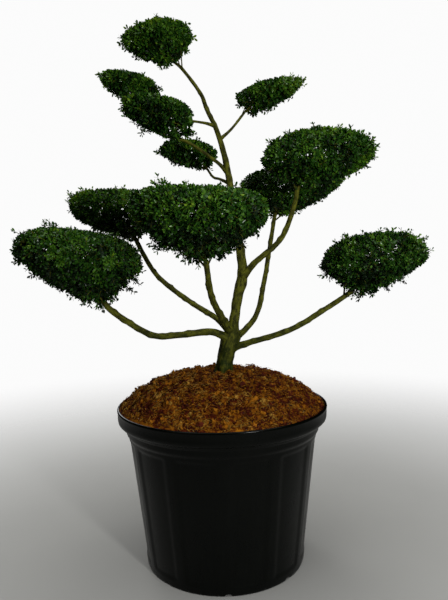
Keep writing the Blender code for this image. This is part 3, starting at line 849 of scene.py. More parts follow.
def painted_floor(settings):
    """Painted board, rolled: nearly matt and faintly uneven. Away from the pot it fades into the surround."""
    material, tree, shader = start_material(
        "painted_floor", Metallic=0.0, IOR=1.5, Roughness=0.8, Specular_IOR_Level=0.2
    )
    place = add_node(tree, "ShaderNodeTexCoord").outputs["Object"]
    distance = add_node(tree, "ShaderNodeVectorMath", {}, {0: place}, operation="LENGTH")
    cover = add_node(
        tree, "ShaderNodeMapRange", {"From Min": 0.5, "From Max": 3.4, "To Min": 1.0, "To Max": 0.0},
        {"Value": distance.outputs["Value"]}, interpolation_type="SMOOTHSTEP",
    )
    marks = add_node(
        tree, "ShaderNodeTexNoise", {"Scale": per_metre(600), "Detail": 4.0}, {"Vector": place}
    )
    colour = add_node(
        tree, "ShaderNodeValToRGB", links={"Fac": marks.outputs[0]},
        stops=((0.3, [c * 0.94 for c in settings.floor]), (0.7, tuple(settings.floor))),
    )
    tree.links.new(colour.outputs[0], shader.inputs["Base Color"])
    tree.links.new(cover.outputs[0], shader.inputs["Alpha"])
    return material


# Meshes


def unit(vectors):
    return vectors / np.linalg.norm(vectors, axis=-1, keepdims=True)


def add_piece(name, points, faces, materials, nodes, tints=None, grain=None, smooth=True):
    """A mesh that rides on the part, stands for the given nodes and takes a slot's finish."""
    mesh = bpy.data.meshes.new(name)
    mesh.from_pydata(points, [], faces)
    for material in materials:
        mesh.materials.append(material)
    if tints is not None:
        mesh.polygons.foreach_set("material_index", tints)
    if grain is not None:
        mesh.attributes.new("grain", "FLOAT_VECTOR", "POINT").data.foreach_set("vector", np.ravel(grain))
    if smooth:
        mesh.shade_smooth()
    mesh.update()
    piece = bpy.data.objects.new(name, mesh)
    bpy.context.scene.collection.objects.link(piece)
    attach(piece, "root")
    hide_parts(*nodes)
    return piece


def grid_faces(rows, columns):
    """Quads between rows of points that each go all the way round."""
    start = np.arange(rows - 1)[:, None] * columns
    here = np.arange(columns)[None, :]
    after = (here + 1) % columns
    quads = np.stack([start + here, start + after, start + columns + after, start + columns + here], -1)
    return quads.reshape(-1, 4).tolist()


def copies(template_points, template_faces, count):
    """The faces of many copies of a small template, whose points follow each other."""
    starts = np.arange(count)[:, None, None] * template_points
    return (starts + np.array(template_faces)[None]).reshape(count * len(template_faces), -1)


def smooth_step(value, start, end):
    share = np.clip((value - start) / (end - start), 0.0, 1.0)
    return share * share * (3 - 2 * share)


# Pot


def pot_profile():
    """(radius, height, how much of the flutes shows) down the outside from the lip, then down the inside."""
    outside = [
        (RIM_RADIUS - 0.0075, POT_HEIGHT - 0.0012, 0.0),
        (RIM_RADIUS - 0.0058, POT_HEIGHT - 0.0002, 0.0),
        (RIM_RADIUS - 0.0040, POT_HEIGHT, 0.0),
        (RIM_RADIUS - 0.0020, POT_HEIGHT - 0.0006, 0.0),
        (RIM_RADIUS - 0.0006, POT_HEIGHT - 0.0022, 0.0),
        (RIM_RADIUS, POT_HEIGHT - 0.0045, 0.0),
        (RIM_RADIUS - 0.0003, POT_HEIGHT - 0.0080, 0.0),
        (RIM_RADIUS - 0.0014, POT_HEIGHT - 0.0110, 0.0),
        (RIM_RADIUS - 0.0016, POT_HEIGHT - 0.0300, 0.0),
        (RIM_RADIUS - 0.0020, POT_HEIGHT - 0.0370, 0.0),
        (RIM_RADIUS - 0.0034, POT_HEIGHT - 0.0420, 0.0),
        (RIM_RADIUS - 0.0070, POT_HEIGHT - 0.0460, 0.0),
        (RIM_RADIUS - 0.0130, POT_HEIGHT - 0.0490, 0.0),
        (RIM_RADIUS - 0.0200, POT_HEIGHT - 0.0512, 0.0),
        (NECK_RADIUS + 0.0030, POT_HEIGHT - 0.0528, 0.0),
        (NECK_RADIUS + 0.0008, POT_HEIGHT - 0.0555, 0.0),
        (NECK_RADIUS, POT_HEIGHT - 0.0590, 0.0),
        (NECK_RADIUS - 0.0004, POT_HEIGHT - 0.0740, 0.0),
        (NECK_RADIUS - 0.0012, POT_HEIGHT - 0.0785, 0.0),
        (NECK_RADIUS - 0.0038, POT_HEIGHT - 0.0825, 0.0),
        (SHOULDER_RADIUS + 0.0002, POT_HEIGHT - 0.0860, 0.0),
    ]
    top = SHOULDER_HEIGHT - 0.012
    heights = np.concatenate(
        [np.linspace(top, FLUTE_HEAD - 0.024, 12), np.linspace(FLUTE_HEAD - 0.05, FLUTE_FOOT + 0.05, 7)]
        + [np.linspace(FLUTE_FOOT + 0.022, 0.006, 9)]
    )
    wall = [(wall_radius(height), height, 1.0) for height in heights]
    foot = [
        (BASE_RADIUS - 0.0003, 0.0030, 0.0),
        (BASE_RADIUS - 0.0014, 0.0008, 0.0),
        (BASE_RADIUS - 0.0035, 0.0, 0.0),
    ]
    return outside + wall + foot


def wall_radius(height):
    """The outer radius of the tapered wall at a height, without its flutes."""
    return BASE_RADIUS + (SHOULDER_RADIUS - BASE_RADIUS) * height / SHOULDER_HEIGHT


def make_pot(settings):
    """The wall turned round its axis, with flutes drawn in and notches in the foot."""
    count = FLUTES * settings.segments
    angles = np.arange(count) * math.tau / count
    pitch = math.tau / FLUTES
    from_rib = np.abs((angles + pitch / 2) % pitch - pitch / 2)
    across = smooth_step(from_rib, RIB_WIDTH * 0.28, RIB_WIDTH * 0.72)
    notch_pitch = math.tau / NOTCHES
    from_notch = np.abs((angles - NOTCH_TURN + notch_pitch / 2) % notch_pitch - notch_pitch / 2)
    notch = 1 - smooth_step(from_notch * BASE_RADIUS, NOTCH_WIDTH / 2 - 0.003, NOTCH_WIDTH / 2)

    inner = RIM_RADIUS - WALL - 0.006
    foot_inner = BASE_RADIUS - 0.016
    underside = [
        (foot_inner + 0.002, 0.0, 0.0),
        (foot_inner, 0.0015, 0.0),
        (foot_inner - 0.002, 0.0055, 0.0),
        (foot_inner * 0.55, 0.0060, 0.0),
        (0.030, 0.0060, 0.0),
    ]
    inside = [
        (0.030, FLOOR, 0.0),
        (wall_radius(FLOOR) - 0.012, FLOOR, 0.0),
        (wall_radius(SHOULDER_HEIGHT) - 0.012, SHOULDER_HEIGHT, 0.0),
        (inner - 0.002, POT_HEIGHT - 0.050, 0.0),
        (inner + 0.0016, POT_HEIGHT - 0.010, 0.0),
        (inner + 0.0020, POT_HEIGHT - 0.0035, 0.0),
    ]
    rows = pot_profile() + underside + inside
    points = []
    for radius, height, flute in rows:
        ends = smooth_step(height, FLUTE_FOOT, FLUTE_FOOT + 0.012) * (
            1 - smooth_step(height, FLUTE_HEAD - 0.014, FLUTE_HEAD)
        )
        reach = radius - settings.flute_depth * flute * across * ends
        lift = np.where(height < NOTCH_HEIGHT, notch * (NOTCH_HEIGHT - height), 0.0)
        lift = lift if radius > foot_inner - 0.001 else lift * 0.0
        points.append(np.stack([reach * np.cos(angles), reach * np.sin(angles), height + lift], -1))
    faces = grid_faces(len(rows), count)
    last = (len(rows) - 1) * count
    here, after = np.arange(count), (np.arange(count) + 1) % count
    faces += np.stack([last + here, last + after, after, here], -1).tolist()
    material = polypropylene(settings)
    add_piece(
        "pot_moulding", np.concatenate(points), [face[::-1] for face in faces], [material],
        ["pot"],
    )


# Mulch


def mulch_height(radius):
    share = np.maximum(radius - SEAT_RADIUS, 0.0) / (FILL_RADIUS - SEAT_RADIUS)
    return FILL_EDGE + (GROUND - FILL_EDGE) * (1 - share**DOME_POWER)


def lumps(x, y, height):
    """How far the mulch stands above its even dome at a place, or below it between its lumps."""
    place = Vector((x, y, 0.0))
    rough = noise.fractal(place * LUMP_SCALE, 0.5, 2.1, 5) * 0.8 + noise.noise(place * SWELL_SCALE) * 0.6
    radius = math.hypot(x, y)
    calm = min(max((FILL_RADIUS - radius) / 0.030, 0.25), 1.0)
    from_heap = math.atan2(y, x) - HEAP_ANGLE
    heap = HEAP_HEIGHT * max(math.cos(from_heap), 0.0) ** 1.5 * smooth_step(radius, 0.22, 0.31)
    return height * (rough - 0.55 * smooth_step(radius, 0.05, 0.13)) * calm + heap


def drifts_and_painted_shade(places):
    """From about -1 to 1, how dark the mulch is at each place: in random clumps, and more on the +X side,
    where the crown's shade is painted.
    """
    patches = [noise.fractal(Vector((x, y, 3.0)) * DRIFT_SCALE, 0.8, 2.2, 3) for x, y, _ in places]
    # The +X term is painted shade of the crown.
    return np.array(patches) * DRIFT_CONTRAST + places[:, 0] / PAINTED_SHADE_REACH


def pick_tints(draw, places, shares):
    """A tint for each place, from the palest to the darkest, darker in the mulch's clumps and in its painted
    shade.
    """
    value = draw.uniform(0.0, 1.0, len(places)) + 0.35 * drifts_and_painted_shade(places)
    return np.searchsorted(np.cumsum(shares)[:-1], value.clip(0.0, 1.0))


def make_mulch(settings, seed=41):
    """The lumpy dome, with coir fibres and bark chips lying on it."""
    draw = np.random.default_rng(seed)
    rings, columns = 120, 300
    radii = np.sqrt(np.linspace(0.0002, 1.0, rings)) * FILL_RADIUS
    angles = np.arange(columns) * math.tau / columns
    points = []
    for radius in radii:
        for angle in angles:
            x, y = radius * math.cos(angle), radius * math.sin(angle)
            points.append((x, y, mulch_height(radius) + lumps(x, y, settings.lump_height)))
    skirt = len(points)
    points += [(p[0], p[1], FILL_EDGE - 0.02) for p in points[-columns:]]
    faces = grid_faces(rings + 1, columns)
    faces += [tuple(reversed(range(columns))), tuple(range(skirt, skirt + columns))]
    faces = [face[::-1] for face in faces]
    add_piece("mulch_dome", points, faces, [coir(settings)], ["mulch_fill"])

    count = settings.fibres
    length = settings.fibre_length * draw.lognormal(0.0, 0.42, count).clip(0.35, 2.4)
    middles, along, up = scatter(draw, settings, count, 0.0022, 0.34)
    stray = draw.random((count, 1)) < STRAY_SHARE
    along = np.where(stray, unit(along + up * 0.7), along)
    up = unit(up - along * np.sum(along * up, -1, keepdims=True))
    side = np.cross(along, up)
    bend = draw.normal(0.0, 0.16, (count, 1)) * side + draw.uniform(0.0, 0.16, (count, 1)) * up
    width = draw.uniform(0.0005, 0.0014, (count, 1))
    start = middles - along * length[:, None] / 2
    end = middles + along * length[:, None] / 2
    bent = middles + bend * length[:, None]
    rings_of = [start, bent + side * width, bent + up * width, bent - side * width - up * width * 0.4, end]
    points = np.stack(rings_of, 1).reshape(-1, 3)
    template = [(0, 1, 2), (0, 2, 3), (0, 3, 1), (4, 2, 1), (4, 3, 2), (4, 1, 3)]
    tints = np.repeat(pick_tints(draw, middles, FIBRE_TINTS), len(template))
    fibres = [
        fibre_material("coir_fibre_straw", settings.straw),
        fibre_material("coir_fibre_ochre", settings.fibre),
        fibre_material("coir_fibre_rust", settings.rust),
    ]
    add_piece(
        "mulch_fibres", inside_rim(points), copies(5, template, count), fibres,
        ["mulch_fill"], tints,
    )
    make_clods(settings, draw, fibres)

    count = settings.chips
    middles, along, up = scatter(draw, settings, count, 0.0015, 0.30)
    side = np.cross(along, up)
    size = settings.chip_size * draw.lognormal(0.0, 0.35, (count, 1)).clip(0.5, 2.0) / 2
    corners = []
    for i in range(6):
        angle = math.tau * i / 6
        reach = size * draw.uniform(0.65, 1.1, (count, 1))
        corners.append(middles + along * reach * math.cos(angle) + side * reach * 0.55 * math.sin(angle))
    thickness = size * 0.22
    corners += [middles + up * thickness, middles - up * thickness]
    points = np.stack(corners, 1).reshape(-1, 3)
    template = [(i, (i + 1) % 6, 6) for i in range(6)] + [((i + 1) % 6, i, 7) for i in range(6)]
    tints = np.repeat(draw.choice(2, count, p=CHIP_TINTS), len(template))
    materials = [
        fibre_material("bark_chip_dark", settings.chip, 0.7),
        fibre_material("bark_chip_red", [c * 1.9 for c in settings.chip], 0.7),
    ]
    add_piece(
        "mulch_chips", inside_rim(points), copies(8, template, count), materials,
        ["mulch_fill"], tints, smooth=False,
    )


def make_clods(settings, draw, materials):
    """Torn crumbs of matted fibre, half sunk in the dome."""
    ball = bmesh.new()
    bmesh.ops.create_icosphere(ball, subdivisions=2, radius=1.0)
    shape = np.array([vertex.co for vertex in ball.verts])
    template = [[vertex.index for vertex in face.verts] for face in ball.faces]
    ball.free()
    count = settings.clods
    middles, along, up = scatter(draw, settings, count, 0.003, 0.4)
    side = np.cross(along, up)
    size = settings.clod_size * draw.lognormal(0.0, 0.4, (count, 1, 1)).clip(0.45, 2.0) / 2
    ragged = shape * draw.normal(0.9, 0.34, (count, len(shape), 1)) * size
    squash = draw.uniform(0.4, 1.1, (count, 3))
    points = middles[:, None] + sum(
        ragged[..., i : i + 1] * (axis * squash[:, i : i + 1])[:, None]
        for i, axis in enumerate((along, side, up))
    )
    tints = np.repeat(pick_tints(draw, middles, CLOD_TINTS), len(template))
    add_piece(
        "mulch_clods", inside_rim(points.reshape(-1, 3)), copies(len(shape), template, count), materials,
        ["mulch_fill"], tints, smooth=False,
    )


def scatter(draw, settings, count, lift, tilt):
    """Places spread evenly over the dome, with a direction along the surface and one out of it."""
    radius = np.sqrt(draw.uniform(0.0, 1.0, count)) * (FILL_RADIUS - 0.006)
    angle = draw.uniform(0.0, math.tau, count)
    x, y = radius * np.cos(angle), radius * np.sin(angle)
    z = mulch_height(radius) + [lumps(a, b, settings.lump_height) for a, b in zip(x, y)]
    fall = (mulch_height(radius) - mulch_height(radius + 0.004)) / 0.004
    up = unit(np.stack([fall * np.cos(angle), fall * np.sin(angle), np.ones(count)], -1))
    heading = draw.uniform(0.0, math.tau, count)
    along = np.stack([np.cos(heading), np.sin(heading), draw.normal(0.0, tilt, count)], -1)
    along -= up * np.sum(along * up, -1, keepdims=True) * 0.85
    along = unit(along)
    up = unit(up - along * np.sum(along * up, -1, keepdims=True))
    places = np.stack([x, y, z + draw.uniform(0.0, lift, count)], -1)
    return places, along, up


def inside_rim(points):
    """Pulls what passes the lip back inside it."""
    radius = np.hypot(points[:, 0], points[:, 1])
    limit = FILL_RADIUS - LIP_GAP
    shrink = np.minimum(limit / np.maximum(radius, 1e-6), 1.0)
    points[:, :2] *= shrink[:, None]
    return points


# Wood


def curve_through(rows, count):
    """Rows on a smooth curve through the given ones, at even steps of the row number."""
    rows = np.array([rows[0], *rows, rows[-1]])
    spans = len(rows) - 3
    places = np.minimum(np.arange(count + 1) * spans / count, spans - 1e-9)
    start = places.astype(int)
    t = (places - start)[:, None]
    a, b, c, d = (rows[start + i] for i in range(4))
    return 0.5 * (2 * b + (c - a) * t + (2 * a - 5 * b + 4 * c - d) * t**2 + (3 * b - a - 3 * c + d) * t**3)


class Limb:
    """The centre line of the trunk or a bough, at even steps of length, with its radii."""

    def __init__(self, name, rows, step, seed):
        self.name, self.seed = name, seed
        fine = curve_through(rows, 40 * len(rows))
        run = np.concatenate([[0.0], np.cumsum(np.linalg.norm(np.diff(fine[:, :3], axis=0), axis=1))])
        self.along = np.linspace(0.0, run[-1], max(8, round(run[-1] / step)) + 1)
        samples = np.stack([np.interp(self.along, run, fine[:, i]) for i in range(4)], -1)
        self.centres, self.radii = samples[:, :3], samples[:, 3]
        self.axes = unit(np.gradient(self.centres, axis=0))
        self.across = np.empty_like(self.axes)
        last = np.array(Vector(self.axes[0]).orthogonal())
        for i, axis in enumerate(self.axes):
            last = last - axis * last.dot(axis)
            last = last / np.linalg.norm(last)
            self.across[i] = last
        self.side = np.cross(self.axes, self.across)

    def clearance(self, points):
        """The distance from each point to the limb's surface."""
        step = max(1, len(self.centres) // 60)
        centres, radii = self.centres[::step], self.radii[::step]
        start, run = centres[:-1], np.diff(centres, axis=0)
        offset = points[:, None, :] - start[None]
        share = np.clip(np.sum(offset * run, -1) / np.sum(run * run, -1), 0.0, 1.0)
        gap = np.linalg.norm(offset - run * share[..., None], axis=-1)
        return np.min(gap - radii[:-1] - (radii[1:] - radii[:-1]) * share, axis=1)


def plan_limbs(settings):
    limbs = {"trunk": Limb("trunk", TRUNK_LINE, settings.ring_step, 1)}
    for number, bough in enumerate(BOUGHS):
        radii = np.linspace(bough.foot_radius, bough.tip_radius, len(bough.line))
        rows = [(*place, radius) for place, radius in zip(bough.line, radii)]
        limbs[bough.name] = Limb(bough.name, rows, settings.ring_step, 2 + number)
    return limbs


def limb_mesh(limb, settings, sides, material):
    """The limb with bark: wrinkles along it, knobs where twigs were cut, and a swollen foot."""
    draw = np.random.default_rng(limb.seed)
    total = limb.along[-1]
    knobs = round(total / settings.knob_spacing)
    knob_along = (np.arange(knobs) + draw.uniform(0.1, 0.9, knobs)) * total / knobs
    knob_angle = draw.uniform(0.0, math.tau, knobs)
    knob_height = draw.uniform(0.10, 0.34, knobs)
    angles = np.arange(sides) * math.tau / sides
    points, grain = [], []
    for i, radius in enumerate(limb.radii):
        along = limb.along[i]
        near = np.exp(-(((along - knob_along) / (radius * 0.75 + 0.002)) ** 2))
        turn = np.abs((angles[:, None] - knob_angle + math.pi) % math.tau - math.pi)
        swell = np.sum(np.exp(-((turn / 0.75) ** 2)) * near * knob_height, axis=1)
        swell += 0.06 * np.sum(near * knob_height)
        swell += bark_relief(limb, i, angles, radius) * settings.wrinkle
        if limb.name == "trunk":
            lobes = FLARE_LOBE * max(1 - along / FLARE_HEIGHT, 0.0)
            swell += lobes * np.cos(5 * angles)
        else:
            swell += FOOT_SWELL * math.exp(-max(along - limb.radii[0], 0.0) / FOOT_SWELL_REACH)
        reach = (radius * (1 + swell))[:, None]
        ring = np.cos(angles)[:, None] * limb.across[i] + np.sin(angles)[:, None] * limb.side[i]
        points.append(limb.centres[i] + ring * reach)
        grain.append(np.stack([np.cos(angles) * radius, np.sin(angles) * radius, angles * 0 + along], -1))
    last = (len(points) - 1) * sides
    faces = grid_faces(len(points), sides)
    faces += [tuple(reversed(range(sides))), tuple(range(last, last + sides))]
    offset = np.array([0.0, 0.0, limb.seed * 1.7])
    add_piece(
        limb.name + "_bark", np.concatenate(points), faces, [material], [limb.name],
        grain=np.concatenate(grain) + offset,
    )


def bark_relief(limb, i, angles, radius):
    """Wrinkles that run along the limb, and a slow waviness round and along it."""
    along = limb.along[i]
    heights = []
    for angle in angles:
        x, y = math.cos(angle) * radius, math.sin(angle) * radius
        wrinkle = noise.noise(Vector((x * 240, y * 240, along * 60 + limb.seed * 7.0)))
        wave = noise.noise(Vector((x * 60, y * 60, along * 34 + limb.seed * 13.0)))
        heights.append(0.7 * wrinkle + 1.1 * wave)
    return np.array(heights)


# Foliage


class Envelope:
    """The clipped outline of one pad, as its solid has it."""

    def __init__(self, pad, limb):
        self.pad = pad
        self.centre = np.array(pad.centre)
        self.half = np.array(pad.half)
        self.apex = (limb.centres[-1] - self.centre) * (1.0, 1.0, 0.0)

    def place(self, points, inset=0.0):
        """Under 1 inside the outline, 1 on it and over 1 outside."""
        pad = self.pad
        offset = points - self.centre
        height = offset[..., 2] - pad.slope * offset[..., 0]
        above = height >= 0
        share = np.where(above, height / (pad.rise - inset), -height / (pad.drop - inset))
        power = np.where(above, pad.square, pad.bowl)
        shift = np.where(above, 0.0, np.clip(share, 0.0, 1.0) ** APEX_POWER)[..., None] * self.apex
        level = (offset[..., :2] - shift[..., :2]) / (self.half - np.asarray(inset)[..., None])
        distance = np.hypot(level[..., 0], level[..., 1])
        return distance**power + np.maximum(share, 0.0) ** power

    def reach(self, directions, inset=0.0):
        """The distance from the middle to the outline along each direction."""
        low, high = np.zeros(len(directions)), np.full(len(directions), 0.5)
        for _ in range(24):
            middle = (low + high) / 2
            inside = self.place(self.centre + directions * middle[:, None], inset) <= 1.0
            low, high = np.where(inside, middle, low), np.where(inside, high, middle)
        return low

    def directions(self, count, turn):
        """Directions at golden-angle turns, with equal areas of the outline between them."""
        mean = self.half.mean()
        rise = np.linspace(1.0, -1.0, 401)
        depth = np.where(rise > 0, self.pad.rise, self.pad.drop)
        level = np.sqrt(1 - rise**2) * mean
        height = rise * depth
        steps = np.hypot(np.diff(level), np.diff(height))
        area = np.concatenate([[0.0], np.cumsum(steps * (level[1:] + level[:-1]) / 2)])
        rise = np.interp((np.arange(count) + 0.5) / count * area[-1], area, rise)
        depth = np.where(rise > 0, self.pad.rise, self.pad.drop)
        angle = turn + np.arange(count) * GOLDEN_ANGLE
        level = np.sqrt(1 - rise**2)
        across, back = np.cos(angle) * level * self.half[0], np.sin(angle) * level * self.half[1]
        return unit(np.stack([across, back, rise * depth], -1))


def tapered_twigs(starts, ends, foot, tip, sag):
    """(points, faces) of three-sided twigs that bend a little in the middle and end in a small tip."""
    axis = unit(ends - starts)
    across = unit(np.cross(axis, np.where(np.abs(axis[:, 2:]) < 0.9, (0.0, 0.0, 1.0), (1.0, 0.0, 0.0))))
    side = np.cross(axis, across)
    middles = (starts + ends) / 2 + sag
    rings = []
    for centre, radius in ((starts, foot), (middles, (foot + tip) / 2), (ends, tip)):
        for k in range(3):
            angle = math.tau * k / 3
            rings.append(centre + (across * math.cos(angle) + side * math.sin(angle)) * radius)
    points = np.stack(rings, 1).reshape(-1, 3)
    template = [(0, 2, 1), (6, 7, 8)]
    for low in (0, 3):
        for k in range(3):
            after = (k + 1) % 3
            template += [(low + k, low + after, low + 3 + after), (low + k, low + 3 + after, low + 3 + k)]
    return points, copies(9, template, len(starts))


class Growth:
    """The twigs and leaves of one pad, which branch outwards level by level from its limb's tip."""

    def __init__(self, pad, limbs, envelopes, settings):
        self.pad, self.limbs, self.settings = pad, limbs, settings
        self.own = envelopes[pad.name]
        self.others = [shape for name, shape in envelopes.items() if name != pad.name]
        self.draw = np.random.default_rng(pad.seed)
        self.twig_points, self.twig_faces, self.twig_count = [], [], 0

    def add_twigs(self, starts, ends, foot, tip):
        length = np.linalg.norm(ends - starts, axis=1, keepdims=True)
        sag = self.draw.normal(0.0, 0.05, starts.shape) * length
        points, faces = tapered_twigs(starts, ends, foot, tip, sag)
        self.twig_points.append(points)
        self.twig_faces.append(faces + self.twig_count)
        self.twig_count += len(points)

    def allowed(self, points, stands_out):
        """Whether each point keeps to this pad's space, out of the others' and clear of the wood."""
        keep = self.own.place(points, -stands_out) <= 1.0
        for shape in self.others:
            keep &= shape.place(points, -PAD_CLEARANCE) > 1.0
        for limb in self.limbs.values():
            near = np.linalg.norm(points - limb.centres.mean(axis=0), axis=1) < limb.along[-1] + 0.05
            if near.any():
                keep[near] &= limb.clearance(points[near]) > WOOD_CLEARANCE
        return keep

    def grow(self):
        pad, limb, draw = self.pad, self.limbs[self.pad.limb], self.draw
        hub = self.own.centre - (0.0, 0.0, pad.drop * HUB_DROP)
        foot = limb.centres[-1] - limb.axes[-1] * 0.004
        self.add_twigs(foot[None], hub[None], limb.radii[-1], limb.radii[-1] * 0.6)
        area = pad.half[0] * pad.half[1]
        count = max(4, FORKS_PER_AREA * area)
        parents = hub[None]
        turn = draw.uniform(0.0, math.tau)
        for number, level in enumerate(LEVELS):
            count = round(count * level.ratio)
            nodes = self.nodes(count, turn + number, level.share)
            parents = self.join(parents, nodes, level.foot_radius, level.tip_radius)
            if number == 1:
                self.add_side_twigs(limb, nodes)
        shoots = round(self.settings.shoots_per_area * area)
        ends, stands_out = self.shoot_ends(shoots, turn + len(LEVELS))
        near = self.nearest(parents, ends)
        starts = parents[near]
        self.add_twigs(starts, ends, SHOOT_FOOT, SHOOT_TIP)
        return self.leaves(starts, ends, near, stands_out)

    def add_side_twigs(self, limb, nodes):
        """Twigs that leave the limb below the pad and spread into its underside."""
        for number in range(SIDE_TWIGS):
            place = limb.along[-1] - 0.010 - 0.012 * number
            row = min(np.searchsorted(limb.along, place), len(limb.along) - 2)
            runs = nodes - limb.centres[row]
            length = np.linalg.norm(runs, axis=1)
            turned = runs @ limb.axes[row] / length
            fit = length + 0.2 * np.abs(turned - 0.80)
            best = np.argmin(fit)
            self.add_twigs(limb.centres[row][None], nodes[best][None], limb.radii[row] * 0.5, 0.0016)
            nodes = np.delete(nodes, best, axis=0)

    def shoot_ends(self, count, turn):
        """Where the shoots end, and how far the leaves of each may pass the pad's outline."""
        pad, draw, centre = self.pad, self.draw, self.own.centre
        directions = self.own.directions(count, turn)
        directions = unit(directions + draw.normal(0.0, 0.045, directions.shape))
        reach = self.own.reach(directions)
        surface = centre + directions * reach[:, None]
        clumps = np.array([noise.noise(Vector(place) * CLUMP_SCALE) for place in surface])
        tufts = np.array([noise.noise(Vector(place) * TUFT_SCALE) for place in surface])
        offset = surface - centre
        low = smooth_step((pad.slope * offset[:, 0] - offset[:, 2]) / pad.drop, 0.15, 0.6)
        inset = SHEAR_DEPTH + CLUMP_DEPTH * clumps + TUFT_DEPTH * tufts
        inset += draw.uniform(0.0, CHANCE_DEPTH, count)
        inset += low * draw.uniform(-0.006, 0.016, count)
        inset += (draw.random(count) < DEEPER_SHARE) * draw.uniform(DEEPER_FROM, DEEPER_TO, count)
        proud = draw.random(count) < PROUD_SHARE + PROUD_SHARE_BELOW * low
        inset = np.where(proud, draw.uniform(-PROUD_TO, -PROUD_FROM, count), inset.clip(0.001))
        ends = centre + directions * (reach - inset)[:, None]
        stands_out = np.where(proud, PROUD_ALLOWANCE, 0.003 + 0.004 * low)
        bare = low * (0.16 + 0.9 * clumps.clip(0.0))
        keep = self.allowed(ends, stands_out) & (draw.random(count) > bare)
        ends, stands_out = ends[keep], stands_out[keep]
        tips = np.array(SPRIGS.get(pad.name, ())).reshape(-1, 3)
        for share in SPRIG_SHARES:
            sprigs = centre + (tips - centre) * share + draw.normal(0.0, 0.003, tips.shape)
            sprigs = sprigs[self.allowed(sprigs, SPRIG_ALLOWANCE)]
            ends = np.concatenate([ends, sprigs])
            stands_out = np.append(stands_out, np.full(len(sprigs), SPRIG_ALLOWANCE))
        return ends, stands_out

    def nodes(self, count, turn, share):
        directions = self.own.directions(count, turn)
        wander = self.draw.uniform(0.92, 1.04, count)
        nodes = self.own.centre + directions * (self.own.reach(directions) * share * wander)[:, None]
        return nodes[self.allowed(nodes, 0.0)]

    @staticmethod
    def nearest(parents, places):
        return np.argmin(np.linalg.norm(places[:, None] - parents[None], axis=-1), axis=1)

    def join(self, parents, nodes, foot, tip):
        self.add_twigs(parents[self.nearest(parents, nodes)], nodes, foot, tip)
        return nodes

    def leaves(self, starts, ends, sprays, stands_out):
        """(points, tints) of the leaves that stand round each shoot, largest below its tip."""
        settings, draw = self.settings, self.draw
        length = np.linalg.norm(ends - starts, axis=1)
        counts = np.round(length / settings.leaf_step)
        counts = counts.clip(settings.fewest_leaves, settings.most_leaves).astype(int)
        shoot = np.repeat(np.arange(len(starts)), counts)
        order = np.arange(len(shoot)) - np.repeat(np.cumsum(counts) - counts, counts)
        axis = unit(ends - starts)[shoot]
        outward = unit(ends - self.own.centre)[shoot]
        step = np.minimum(length / counts, settings.leaf_step)[shoot]
        back = (order + draw.uniform(-0.3, 0.3, len(shoot))).clip(0.0) * step
        feet = ends[shoot] - axis * back[:, None]
        across = unit(np.cross(axis, (0.31, 0.17, 0.93)))
        around = np.cross(axis, across)
        turn = draw.uniform(0.0, math.tau, len(starts))[shoot] + order * GOLDEN_ANGLE
        radial = across * np.cos(turn)[:, None] + around * np.sin(turn)[:, None]
        open_angle = np.radians((24 + 11 * order + draw.normal(0.0, 11.0, len(shoot))).clip(8, 88))[:, None]
        along = axis * np.cos(open_angle) + radial * np.sin(open_angle)
        face = axis * np.sin(open_angle) - radial * np.cos(open_angle)
        face = face + outward * 0.5 + (0.0, 0.0, 0.35) + draw.normal(0.0, 0.22, face.shape)
        face = unit(face - along * np.sum(face * along, -1, keepdims=True))
        side = np.cross(face, along)
        grown = 0.74 + 0.26 * smooth_step(order, 0, 2)
        size = settings.leaf_length * draw.uniform(0.78, 1.18, len(shoot)) * grown
        width = size * settings.leaf_width / 2
        curl = size * settings.leaf_curl * draw.uniform(0.2, 1.8, len(shoot))
        shape = np.array(LEAF_OUTLINE)
        points = (
            feet[:, None]
            + along[:, None] * (shape[:, 0] * size[:, None])[..., None]
            + side[:, None] * (shape[:, 1] * width[:, None])[..., None]
            + face[:, None] * (shape[:, 2] * curl[:, None])[..., None]
        )
        stands_out = stands_out[shoot]
        keep = self.allowed(points[:, LEAF_TIP], stands_out)
        keep &= self.allowed(points[:, LEAF_EDGE], stands_out)
        tints = self.tints(ends, sprays, shoot, order)
        return points[keep], tints[keep]

    def tints(self, ends, sprays, shoot, order):
        """Each leaf's tint: 0 is new growth, 1 this year's, 2 grown and 3 old. A spray shares its age. Height
        in the pad and the pad's own height also shift it as painted light.
        """
        draw = self.draw
        height = (ends[:, 2] - self.own.centre[2]) / self.pad.rise
        drift = np.array([noise.noise(Vector(end) * 14.0) for end in ends])
        # Lighter towards a pad's top: new growth there, and painted light from above.
        age = MEAN_AGE - AGE_AND_LIGHT_BY_HEIGHT * height.clip(-0.9, 1.0) - AGE_BY_PATCH * drift
        age += draw.normal(0.0, AGE_BY_SPRAY, sprays.max() + 1)[sprays]
        # Painted light: the high pads get lighter tints and the low pads darker ones.
        age -= PAINTED_LIGHT_BY_PAD_HEIGHT * (self.own.centre[2] - EVEN_HEIGHT)
        leaf_age = age[shoot] + AGE_ALONG_SHOOT * (order - 3) + draw.normal(0.0, AGE_BY_LEAF, len(shoot))
        return np.round(leaf_age).clip(0, 3).astype(int)


